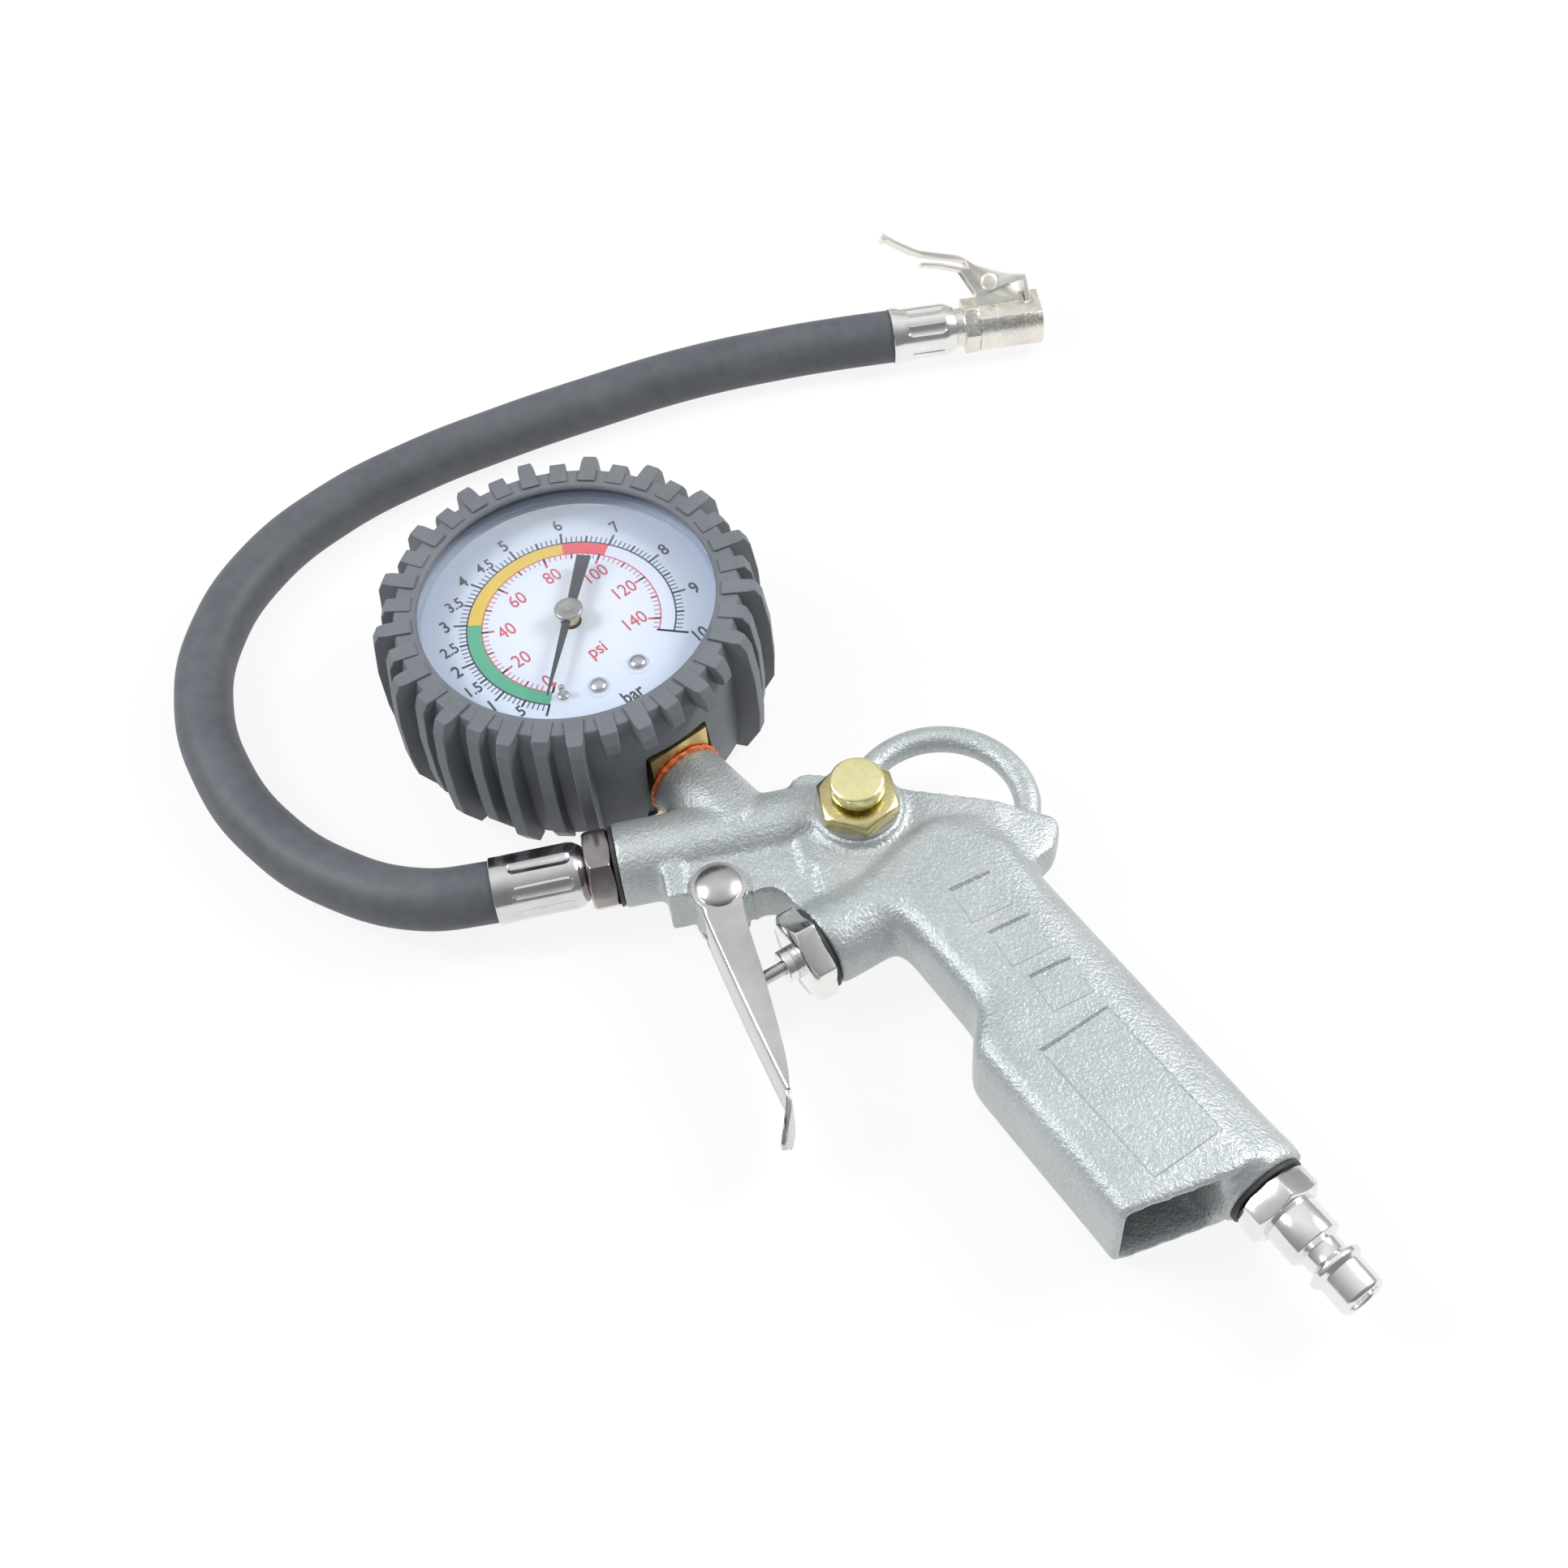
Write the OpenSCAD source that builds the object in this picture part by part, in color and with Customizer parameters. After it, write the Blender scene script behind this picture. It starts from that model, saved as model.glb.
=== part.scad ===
// Pistol-grip tyre inflator with a round dial gauge, a bleed button, a short hose and a
// clip-on tyre chuck. It lies on its side: +Z is square to the dial, +X runs back along the
// barrel and +Y points to the gauge. The origin is under the middle of the pistol and gauge.

/* [Barrel] */
// Radius of the barrel
barrel_r = 9.5; // [8.5:0.1:10.5]
// Length of the barrel's round part
barrel_len = 46; // [42:1:48]
// Height of the pistol's middle plane above the table
mid_z = 13; // [12.9:0.1:14]
// Radius of the 1/4 inch pipe thread at the hose outlet
outlet_thread_r = 6.5; // [5.5:0.1:7]
// Depth of the hose outlet's thread
outlet_depth = 13; // [11:0.5:15]
// Radius of the drilled air passages
air_r = 2.5; // [1.5:0.1:3]

/* [Gauge place] */
// Distance from the barrel's mouth to the gauge boss
stem_x = 28.5; // [26:0.5:30]
// Lean of the gauge boss towards the mouth, in degrees
stem_lean = 26.5; // [22:0.5:28]
// Gap between the barrel and the ribs of the gauge's boot
boot_gap = 1.35; // [0.8:0.05:4]
// Radius of the gauge boss
boss_r = 9; // [8:0.1:9.5]
// Radius of the 1/8 inch pipe thread in the gauge boss
socket_thread_r = 4.9; // [4:0.1:5.5]
// Length of that thread
socket_thread_len = 10; // [6:0.5:11]

/* [Gauge] */
// Outer radius of the gauge case
case_r = 38; // [37.5:0.1:39]
// Wall of the gauge case
case_wall = 1.2; // [0.8:0.1:1.6]
// Height of the case's back above the table
case_back_z = 2; // [1.5:0.1:2.5]
// Height of the case's front rim above the table
case_rim_z = 34; // [33:0.5:35]
// Height of the dial plate's face above the table
dial_z = 31.2; // [30:0.1:32]
// Thickness of the dial plate
dial_t = 0.5; // [0.3:0.1:1]
// Thickness of the lens
lens_t = 1.4; // [1:0.1:2]
// Height of the lens's back above the table
lens_z = 36.6; // [36:0.1:37]
// Radius of the lens that shows
lens_view_r = 34; // [33:0.5:34.5]
// Depth of the bezel's front lip
bezel_lip = 0.6; // [0.4:0.1:1]
// Turn of the dial's foot from the boss, in degrees
dial_turn = 2; // [0:0.5:4]
// Length of the pointer from its pivot to its tip
needle_tip = 24; // [20:0.5:27]
// Length of the pointer's tail
needle_tail = 17; // [12:0.5:20]
// Width of the pointer's tail
needle_w = 3.4; // [2:0.1:4]
// Sheet thickness of the pointer
needle_t = 0.5; // [0.3:0.1:0.8]
// Radius of the pointer's hub cap
hub_r = 3.3; // [2.5:0.1:4]
// Radius of the pointer's shaft
arbor_r = 0.8; // [0.6:0.1:1.2]
// Pitch radius of the pinion on the pointer's shaft
pinion_r = 2; // [1.5:0.1:2.5]
// Pitch radius of the toothed sector that drives the pinion
sector_r = 16; // [14:0.5:17]
// Mean radius of the curved pressure tube
bourdon_r = 27; // [25:0.5:28]

/* [Boot] */
// Thickness of the rubber wall
boot_wall = 2.4; // [2:0.1:2.8]
// Height of the tall ribs above the gauge case
rib_h = 7.8; // [7:0.1:9]
// How much lower the short ribs are
rib_drop = 1.8; // [1:0.1:2.5]
// Number of tall ribs, with as many short ones between them
rib_count = 17; // [13:2:21]
// Thickness of a rib at its tip
rib_tip_w = 3; // [2:0.1:4]
// Thickness of a rib at its root
rib_root_w = 4.2; // [3:0.1:5]
// Height of the rubber lip over the bezel
lip_t = 1.3; // [1:0.1:2]

/* [Grip] */
// Lean of the grip from square to the barrel, in degrees
grip_lean = 23; // [20:0.5:26]
// Place of the inlet's axis across the grip
inlet_v = 62.3; // [61:0.1:64]
// Radius of the inlet tube along the grip's back
inlet_r = 10; // [9.5:0.1:10.5]
// Place of the inlet's end along the grip
inlet_end = 140; // [138:0.5:144]
// Place of the grip's upper front face
grip_front = 39; // [37:0.5:41]
// Place of the grip's lower front face
foot_front = 31.6; // [30:0.2:34]
// Place along the grip where its lower, deeper part starts
foot_start = 84; // [80:1:88]
// Place along the grip where its front ends
grip_end = 131.7; // [128:0.5:134]
// Half thickness of the grip at its end
grip_half = 12.6; // [12:0.1:12.6]
// Half thickness of the grip at its top
grip_half_top = 10; // [9:0.1:11]
// Radius of the grip's front edges
grip_edge = 4.5; // [3:0.5:6]
// Wall round the hollow in the grip
hollow_wall = 2.2; // [2:0.1:3]
// Depth of that hollow
hollow_depth = 34; // [20:1:36]

/* [Hanging loop] */
// Radius of the loop's middle line
loop_r = 19.3; // [18:0.5:20]
// Radius of the loop's rod
loop_rod_r = 3.1; // [2.5:0.1:3.5]

/* [Trigger] */
// Distance of the trigger's pivot behind the mouth
pivot_x = 20.5; // [20:0.1:21.5]
// Distance of the trigger's pivot below the barrel's axis
pivot_drop = 15; // [14.5:0.1:16]
// Radius of the trigger's rivet
rivet_r = 2.4; // [2:0.1:3]
// Radius of the rivet's domed head
rivet_head_r = 5.1; // [4:0.1:5.5]
// Half thickness of the lug that the trigger straddles
lug_half = 6; // [5:0.1:6.5]
// Sheet thickness of the trigger
trigger_t = 1.2; // [0.8:0.1:1.5]
// Length of the trigger below its pivot
trigger_len = 59.5; // [55:0.5:62]

/* [Trigger valve] */
// Lean of the valve from the barrel, in degrees
valve_lean = 20; // [18:0.5:22]
// Radius of the valve tube
valve_tube_r = 9.5; // [8.5:0.1:10]
// Radius of the valve's chamber
chamber_r = 6; // [5:0.1:7]
// Radius of the valve's stem
valve_stem_r = 1.5; // [1.2:0.1:2]
// Gap between the trigger and the end of the valve's stem
stem_gap = 0.4; // [0.3:0.05:0.7]
// Size across the flats of the valve's hex cap
cap_flats = 18; // [17:0.5:19]

/* [Bleed valve] */
// Distance of the bleed valve behind the mouth
bleed_x = 54; // [52:0.5:56]
// Distance of the bleed valve below the barrel's axis
bleed_drop = 3; // [2:0.5:5]
// Height of its boss above the pistol's middle plane
bleed_boss_h = 9; // [8.8:0.1:10]
// Radius of its boss
bleed_boss_r = 10.1; // [9.8:0.1:11]
// Size across the flats of its hex nut
bleed_flats = 16.5; // [15:0.5:17]
// Radius of the button's head
button_r = 6; // [5:0.1:6.5]
// Travel of the button
button_travel = 1.6; // [1:0.1:2]
// Radius of the button's stem
button_stem_r = 3; // [2.5:0.1:3.2]

/* [Inlet plug] */
// Size across the flats of the plug's hex
plug_flats = 15; // [14:0.5:17]
// Radius of the plug's body and locking collar
plug_body_r = 6; // [5.5:0.1:6.5]
// Radius of the plug's nose
plug_nose_r = 5; // [4.5:0.1:5.2]
// Length of the plug's nose
plug_nose_len = 6.5; // [5:0.5:8]
// Radius of the plug's bore
plug_bore_r = 3.6; // [3:0.1:3.8]
// Radius of the plug's 1/4 inch pipe thread
plug_thread_r = 6.5; // [6:0.1:6.8]

/* [Hose] */
// Radius of the hose
hose_r = 7; // [6.5:0.1:7]
// Radius of the crimped ferrules
ferrule_r = 7.6; // [7.5:0.1:7.6]
// Length of the ferrule at the pistol
gun_ferrule_len = 21; // [16:0.5:22]
// Length of the ferrule at the chuck
chuck_ferrule_len = 17.5; // [14:0.5:18]
// Size across the flats of the hose nipple's hex
nipple_flats = 17; // [15:0.5:18]
// Length of the hose nipple's hex
nipple_len = 6; // [5:0.5:7]

/* [Chuck] */
// Radius of the chuck's body
chuck_r = 7.1; // [7:0.1:7.4]
// Half the size across the chuck's two flats
chuck_flat = 5.6; // [5.5:0.1:6.3]
// Length of the chuck's body
chuck_len = 16.8; // [16.5:0.1:18]
// Radius of the mouth that takes the tyre valve
mouth_r = 4; // [3.9:0.05:4.2]
// Depth of the mouth
mouth_depth = 9; // [8:0.5:10]
// Turn of the chuck's clip from lying flat, in degrees
chuck_roll = 44; // [35:1:50]
// Height of the clip's rivet above the chuck's axis
clip_pivot_c = 10.3; // [10.2:0.1:10.8]
// Sheet thickness of the clip
clip_t = 0.9; // [0.6:0.1:1.1]
// Half width of the clip
clip_half = 4.6; // [4.5:0.1:5]

/* [Fits] */
// Radial clearance of a shaft in its hole
run_fit = 0.08; // [0.03:0.01:0.1]
// Radial clearance of a screwed thread
thread_fit = 0.05; // [0.02:0.01:0.1]
// Gap between curved faces of neighbouring pieces
gap = 0.3; // [0.2:0.05:0.4]
// Thickness of the sealing washers
seal_t = 0.8; // [0.5:0.1:1.2]

/* [Hidden] */
$fn = 64;
hull_fn = 24;

// Middle of the dial in the barrel's frame
rib_tip_r = case_r + rib_h;
stem_reach = (barrel_r + boot_gap + rib_tip_r) / cos(stem_lean);
gauge_x = stem_x - stem_reach * sin(stem_lean);
gauge_y = stem_reach * cos(stem_lean);
stem_dir = 270 + stem_lean;
dial_foot = stem_dir - dial_turn;
scale_sweep = 271.6;
zero_dir = dial_foot - (360 - scale_sweep) / 2;

// Places along the inlet plug
plug_hex_len = 6;
plug_body_len = 8.5;
plug_neck_len = 3;
plug_collar_len = 2.8;
plug_len = plug_hex_len + plug_body_len + plug_neck_len + plug_collar_len + plug_nose_len;
plug_start = inlet_end + seal_t;
plug_tip = plug_start + plug_len;

// The row's origin: under the middle of the pistol and gauge
left_x = gauge_x - rib_tip_r;
right_x = inlet_v * cos(grip_lean) + plug_tip * sin(grip_lean) + plug_nose_r * cos(grip_lean);
low_y = inlet_v * sin(grip_lean) - plug_tip * cos(grip_lean) - plug_nose_r * sin(grip_lean);
high_y = gauge_y + rib_tip_r;
origin_x = (left_x + right_x) / 2;
origin_y = (low_y + high_y) / 2;

// Valve tube
valve_x = 38.8;
valve_y = -30.8;
cap_len = 5;
collar_len = 3.2;
seat_at = 9;
seat_len = 5;
piston_len = 3.2;
chamber_len = 31;
spring_end = 26.8;

// Bleed valve
nut_len = 3.8;
head_len = 3.6;
nut_base = bleed_boss_h + seal_t;
bleed_deep = 14;
head_lift = button_travel + gap;
shank_len = 8;
bleed_seat = 2.4;

// Chuck, in the hose end's own frame
chuck_x = 98;
chuck_y = 153.9;
chuck_z = ferrule_r;
chuck_yaw = -3.7;
neck_w = 2.2;
collar_w = 4;
collar_flats = 12.6;
body_at = chuck_ferrule_len + neck_w + collar_w;
chuck_end = body_at + chuck_len;
clip_pivot = body_at + 3.8;
clip_rivet_r = 1.6;
claw_at = chuck_end - 3.6;

// Route of the hose from inside one ferrule to inside the other, in the barrel's frame
// but with heights above the table
hose_in = 2.4;
route = [
    [-25.4, 0, 13], [-29, 0, 13], [-44, 2.5, 12], [-62, 14, 9.5], [-77, 31, 7.5],
    [-87, 51, 7], [-91, 74, 7], [-87, 95, 7], [-74, 115.5, 7], [-55, 130, 7],
    [-33, 139.5, 7], [-9, 146, 7], [16, 151, 7], [42, 155, 7], [68, 156, 7],
    [84, 155.2, 7.3], [97, 154, 7.6], [100.4, 153.75, 7.6]
];
hose_sides = 12;

// ---------------------------------------------------------------- frames

// The barrel's frame: origin at the middle of the mouth, in the pistol's middle plane
module pistol() {
    translate([-origin_x, -origin_y, mid_z]) children();
}

// The gauge's frame: +X towards the boss, z counted from the table
module gauge() {
    translate([gauge_x - origin_x, gauge_y - origin_y, 0])
        rotate([0, 0, stem_dir]) children();
}

// The gauge boss's frame: +Z from the barrel's axis to the dial
module boss() {
    translate([stem_x, 0, 0]) rotate([0, 0, 90 + stem_lean]) rotate([0, 90, 0]) children();
}

// The grip's frame: +X towards its back, -Y along it to its end
module grip() {
    rotate([0, 0, grip_lean]) children();
}

// Along the inlet: +Z towards the plug's tip, counted as places along the grip
module inlet() {
    grip() translate([inlet_v, 0, 0]) rotate([90, 0, 0]) children();
}

// The trigger valve's frame: +Z from the valve tube's mouth into the pistol
module valve() {
    translate([valve_x, valve_y, 0]) rotate([0, 0, valve_lean]) rotate([0, 90, 0]) children();
}

// The bleed valve's frame: +Z up out of its boss
module bleed() {
    translate([bleed_x, -bleed_drop, 0]) children();
}

// The chuck's frame: +X from the hose's end to the mouth, +Y up into the clip
module chuck() {
    translate([chuck_x - origin_x, chuck_y - origin_y, chuck_z])
        rotate([0, 0, chuck_yaw]) rotate([chuck_roll, 0, 0]) children();
}

// ---------------------------------------------------------------- shared forms

// Hexagonal bar with its corners chamfered at the far end
module hex_bar(flats, h, chamfer = 0) {
    corner = flats / sqrt(3);
    intersection() {
        cylinder(r = corner, h = h, $fn = 6);
        cylinder(r1 = corner + h, r2 = corner - chamfer, h = h + chamfer);
    }
}

// Disc with rounded rims, for hulls
module pad(r, half, rim) {
    edge = min(rim, r / 2);
    rotate_extrude($fn = hull_fn) {
        translate([0, -half]) square([r - edge, 2 * half]);
        translate([0, edge - half]) square([r, 2 * (half - edge)]);
        for (s = [-1, 1])
            translate([r - edge, s * (half - edge)]) circle(edge, $fn = hull_fn);
    }
}

// Rod along -Y of the grip, from place a to place b, round at its upper end
module grip_bar(v, a, b, half_a, half_b, edge) {
    for (s = [-1, 1]) {
        translate([v, -a, s * (half_a - edge)]) sphere(edge, $fn = hull_fn);
        translate([v, -b, s * (half_b - edge)])
            rotate([90, 0, 0]) cylinder(r = edge, h = 0.01, $fn = hull_fn);
    }
}

// Half thickness of the grip at a place along it
function half_at(u) = grip_half_top
    + (grip_half - grip_half_top) * max(0, u - 50) / (grip_end - 50);

// Helical wire spring along +Z
module coil_spring(mean_r, wire_r, h, turns) {
    steps = 10;
    sides = 6;
    n = turns * steps;
    lead = h - 2 * wire_r;
    slope = atan2(lead / turns, 2 * PI * mean_r);
    points = [
        for (i = [0:n], j = [0:sides - 1])
            let (a = 360 * i / steps, b = 360 * j / sides,
                 r = mean_r + wire_r * cos(b),
                 lift = wire_r * sin(b))
            [r * cos(a) + lift * sin(slope) * sin(a),
             r * sin(a) - lift * sin(slope) * cos(a),
             wire_r + lead * i / n + lift * cos(slope)]
    ];
    polyhedron(points, concat(
        [[for (j = [0:sides - 1]) j]],
        [for (i = [0:n - 1], j = [0:sides - 1], t = [0, 1])
            let (a = i * sides + j, b = i * sides + (j + 1) % sides)
            t == 0 ? [a, a + sides, b] : [b, a + sides, b + sides]],
        [[for (j = [sides - 1:-1:0]) n * sides + j]]
    ));
}

// ---------------------------------------------------------------- pistol

module cast_body() {
    color("lightslategray") pistol() difference() {
        union() {
            barrel_solid();
            lug_solid();
            spine_solid();
            valve_tube_solid();
            grip_solid();
            hanging_loop();
            grip_panels();
        }
        air_passages();
        grip_hollow();
        bleed() translate([0, 0, bleed_boss_h]) cylinder(r = washer_r + 0.35, h = 6);
    }
}
washer_r = bleed_boss_r - 0.9;

// Barrel with its gauge boss and the bleed valve's boss
module barrel_solid() {
    rotate([0, 90, 0]) cylinder(r = barrel_r, h = barrel_len);
    boss() cylinder(r1 = boss_r + 1.2, r2 = boss_r, h = boss_len);
    bleed() cylinder(r = bleed_boss_r, h = bleed_boss_h);
}
boss_len = stem_reach - case_r - 3.4;

// Flat web under the barrel, with the lug for the trigger's rivet
module lug_solid() {
    difference() {
        translate([0, 0, -lug_half]) linear_extrude(2 * lug_half) union() {
            polygon([
                [7.6, -5.4], [12.1, -14.8], [pivot_x - 5, -pivot_drop - 1],
                [pivot_x + 5, -pivot_drop - 1], [36, -24], [60, -20], [60, 0]
            ]);
            translate([pivot_x, -pivot_drop]) circle(lug_r);
        }
        translate([arch_x, arch_y, -lug_half - 1]) cylinder(r = arch_r, h = 2 * lug_half + 2);
        translate([arch_x - arch_r, arch_y - 20, -lug_half - 1])
            cube([2 * arch_r, 20, 2 * lug_half + 2]);
        translate([pivot_x, -pivot_drop, -lug_half - 1])
            cylinder(r = rivet_r + thread_fit, h = 2 * lug_half + 2);
        valve() translate([0, 0, -12]) cylinder(r = cap_flats / sqrt(3) + gap, h = 12);
    }
}
lug_r = 6.1;
arch_r = 4.9;
arch_x = pivot_x + lug_r + arch_r - 1.6;
arch_y = -pivot_drop - 7;

// Upper plate of the casting, from the barrel to the spur over the hand
module spine_solid() {
    translate([0, 0, -spine_half]) linear_extrude(2 * spine_half) union() {
        polygon([
            [barrel_len - 5, 8.6], [barrel_len - 1, 9.6], [barrel_len + 4, 7.6],
            [67.7, -0.8], [spur_x - 0.5, -12.1], [spur_x + 0.7, -15],
            [spur_x - 2.3, -21.3], [spur_x - 5.2, -22.9], [spur_x - 7.6, -24.2],
            [spur_x - 9, -26.6], [spur_x - 10, -34],
            [76, -30], [58, -24], [barrel_len - 4, -24], [barrel_len - 4, -8.6]
        ]);
        translate([spur_x - 1.3, -14.15]) circle(2.2);
    }
    rotate([0, 90, 0]) translate([0, 0, barrel_len]) cylinder(r1 = barrel_r, r2 = 7, h = 9);
}
spine_half = 7.3;
spur_x = 95.8;

// Tube of the trigger valve, running back into the top of the grip
module valve_tube_solid() {
    valve() cylinder(r = valve_tube_r, h = 16);
    hull() {
        valve() translate([0, 0, 16]) rotate_extrude($fn = hull_fn) translate([0, -1])
            square([valve_tube_r + 0.3, 2]);
        translate([69, -14.8, 0]) pad(4.5, grip_half_top, 2.4);
        translate([79.5, -21.8, 0]) pad(4.6, grip_half_top, 2.4);
        translate([82, -33, 0]) pad(5, grip_half_top, 3);
        translate([64, -34, 0]) pad(5, grip_half_top, 3);
    }
}

// Grip with its deeper foot and the inlet tube along its back
module grip_solid() {
    grip() {
        hull() {
            grip_bar(grip_front + grip_edge, 44, grip_end + 2, grip_half_top, grip_half,
                grip_edge);
            grip_bar(inlet_v - 4, 40, grip_end + 5.9, grip_half_top, grip_half, grip_edge);
            translate([inlet_v, -44, 0]) sphere(inlet_r - 0.2, $fn = 2 * hull_fn);
            translate([inlet_v, -grip_end - 5.9, 0]) rotate([90, 0, 0])
                cylinder(r = inlet_r - 0.2, h = 0.01, $fn = 2 * hull_fn);
        }
        hull() {
            grip_bar(foot_front + grip_edge, foot_start + 4, grip_end,
                half_at(foot_start) + 1, grip_half, grip_edge);
            grip_bar(grip_front + 8, foot_start - 8, grip_end + 2.9,
                half_at(foot_start - 9), grip_half, grip_edge);
        }
    }
    inlet() translate([0, 0, grip_end + 3]) cylinder(r = inlet_r, h = inlet_end - grip_end - 3);
}

// Round rod that hangs the inflator on a hook
module hanging_loop() {
    translate([72.8, -2.4, 0]) rotate([0, 0, -30]) rotate_extrude(angle = 198)
        translate([loop_r, 0]) circle(loop_rod_r, $fn = 32);
}

// Raised panels on both sides of the grip: three squares and one long plate
module grip_panels() {
    taper = atan((grip_half - grip_half_top) / (grip_end - 50));
    for (s = [0, 1]) mirror([0, 0, s]) grip() {
        for (i = [0:2]) translate([55.2, -59 - 13.3 * i, half_at(59 + 13.3 * i) - 1])
            rotate([-taper, 0, -8]) translate([-4.8, -4.6, 0]) cube([9.6, 9.2, 1 + panel_h]);
        translate([inlet_v - 20, -95.2, half_at(95.2) - 1]) rotate([-taper, 0, 0])
            translate([0, -34, 0]) cube([17, 34, 1 + panel_h]);
    }
}
panel_h = 0.35;

// Threads and drilled passages
module air_passages() {
    rotate([0, 90, 0]) {
        translate([0, 0, -1]) cylinder(r = outlet_thread_r + thread_fit, h = outlet_depth + 1);
        cylinder(r = air_r, h = bleed_x);
    }
    boss() {
        cylinder(r = air_r, h = boss_len);
        translate([0, 0, boss_len - socket_thread_len - 0.5])
            cylinder(r = socket_thread_r + thread_fit, h = socket_thread_len + 1);
    }
    bleed() {
        translate([0, 0, bleed_boss_h - bleed_deep])
            cylinder(r = bleed_seat + 2.2, h = bleed_deep - 4);
        translate([0, 0, bleed_boss_h - shank_len])
            cylinder(r = 5.5 + thread_fit, h = shank_len + 1);
    }
    valve() {
        translate([0, 0, -1]) cylinder(r = chamber_r + thread_fit, h = chamber_len + 1);
        translate([0, 0, 10]) rotate([90, 0, 180 + 20]) cylinder(r = 1.8, h = 24);
    }
    inlet() {
        translate([0, 0, 46]) cylinder(r = air_r, h = inlet_end - 46);
        translate([0, 0, inlet_end - 13]) cylinder(r = plug_thread_r + thread_fit, h = 14);
    }
}

// Hollow in the grip's foot, open at its end
module grip_hollow() {
    back = inlet_v - inlet_r + 0.9;
    half = grip_half - hollow_wall;
    grip() translate([foot_front + hollow_wall, -grip_end - 12, -half])
        cube([back - foot_front - hollow_wall, hollow_depth + 12, 2 * half]);
}

// ---------------------------------------------------------------- hose outlet

module nipple_seal() {
    color("black") pistol() rotate([0, -90, 0]) difference() {
        cylinder(r = 9, h = seal_t);
        translate([0, 0, -1]) cylinder(r = outlet_thread_r + 0.1, h = seal_t + 2);
    }
}

module hose_nipple() {
    color("silver") pistol() rotate([0, -90, 0]) difference() {
        union() {
            translate([0, 0, seal_t]) hex_bar(nipple_flats, nipple_len, 1.2);
            translate([0, 0, 1 - outlet_depth])
                cylinder(r = outlet_thread_r, h = outlet_depth);
            translate([0, 0, seal_t]) cylinder(r = 4, h = nipple_len + 8);
        }
        translate([0, 0, -outlet_depth]) cylinder(r = 2.2, h = outlet_depth + nipple_len + 12);
    }
}

// ---------------------------------------------------------------- gauge

// Brass socket: a threaded stem, a flange in the boot's window and a block in the case
module gauge_socket() {
    color("goldenrod") {
        pistol() boss() difference() {
            translate([0, 0, boss_len - socket_thread_len])
                cylinder(r = socket_thread_r, h = socket_thread_len + 12);
            translate([0, 0, boss_len - socket_thread_len - 1]) cylinder(r = 1.5, h = 18);
        }
        gauge() translate([case_r + gap, -flange_half, mid_z - flange_down])
            cube([flange_t, 2 * flange_half, flange_up + flange_down]);
        gauge() translate([block_in, -block_half, mid_z - 5.5])
            cube([block_out - block_in, 2 * block_half, 11]);
    }
}
block_in = case_r - 16;
block_out = case_r - 3.5;
block_half = 7;
flange_half = 7.6;
flange_down = 8.6;
flange_up = 12.4;
flange_t = 2.4;

module gauge_case() {
    color("#303438") gauge() difference() {
        union() {
            translate([0, 0, case_back_z]) cylinder(r = case_r, h = case_wall);
            rotate_extrude() translate([case_r - case_wall, case_back_z])
                square([case_wall, case_rim_z - case_back_z]);
        }
        translate([case_r - 6, 0, mid_z]) rotate([0, 90, 0])
            cylinder(r = socket_thread_r + gap, h = 12);
    }
}

module bezel_ring() {
    color("#202326") gauge() rotate_extrude() union() {
        translate([case_r - case_wall, case_rim_z])
            square([case_wall, lens_top + bezel_lip - case_rim_z]);
        translate([lens_view_r + 0.4, lens_top + 0.05])
            square([case_r - lens_view_r - 0.4, bezel_lip - 0.05]);
    }
}
lens_top = lens_z + lens_t;

module lens() {
    rim = case_r - case_wall - 0.1;
    color("lightcyan", 0.35) gauge() rotate_extrude() union() {
        translate([0, lens_z]) square([rim, lens_t]);
        translate([rim - 1, dial_z]) square([1, lens_top - dial_z]);
    }
}

module dial_plate() {
    color("white") gauge() difference() {
        translate([0, 0, dial_z - dial_t]) cylinder(r = case_r - case_wall - 0.1, h = dial_t);
        translate([0, 0, dial_z - 2]) cylinder(r = 2.4, h = 4);
        dial_posts() cylinder(r = 1.2, h = 40);
    }
}

// The two places where the dial is screwed to the movement
module dial_posts() {
    for (a = [-15, 15]) rotate([0, 0, a - dial_turn]) translate([20.5, 0, 0]) children();
}

module dial_screws() {
    color("lightgray") gauge() dial_posts() {
        translate([0, 0, dial_z]) cylinder(r1 = 2, r2 = 1.6, h = 0.9);
        translate([0, 0, dial_z - dial_t - 2]) cylinder(r = 1.1, h = 2 + dial_t);
    }
}

module stop_pin() {
    color("lightgray") gauge() rotate([0, 0, zero_dir - stem_dir + 7]) translate([21.5, 0, 0]) {
        translate([0, 0, dial_z]) cylinder(r = 0.7, h = 3.6);
        translate([0, 0, dial_z]) cylinder(r = 1.3, h = 0.5);
    }
}

// Pointer at zero: a thin tip, a broad tail and a turned steel hub cap
module needle() {
    z = dial_z + 3.2;
    color("black") gauge() rotate([0, 0, zero_dir - stem_dir]) translate([0, 0, z]) {
        difference() {
            union() {
                linear_extrude(needle_t) union() {
                    polygon([[0, 1.1], [needle_tip, 0.2], [needle_tip, -0.2], [0, -1.1]]);
                    polygon([
                        [0, 1.1], [-needle_tail, needle_w / 2],
                        [-needle_tail, -needle_w / 2], [0, -1.1]
                    ]);
                }
                cylinder(r = 1.8, h = 1);
                translate([0, 0, 0.7]) cylinder(r = hub_r, h = 0.9);
            }
            translate([0, 0, -1]) cylinder(r = arbor_r + 0.02, h = 2.2);
        }
    }
}

module pointer_shaft() {
    color("#b5a642") gauge() {
        translate([0, 0, plate_low - 0.6]) cylinder(r = arbor_r, h = dial_z + 4 - plate_low);
        translate([0, 0, sector_z - 0.6]) cylinder(r = pinion_r - 0.15, h = 3);
    }
}

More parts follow.
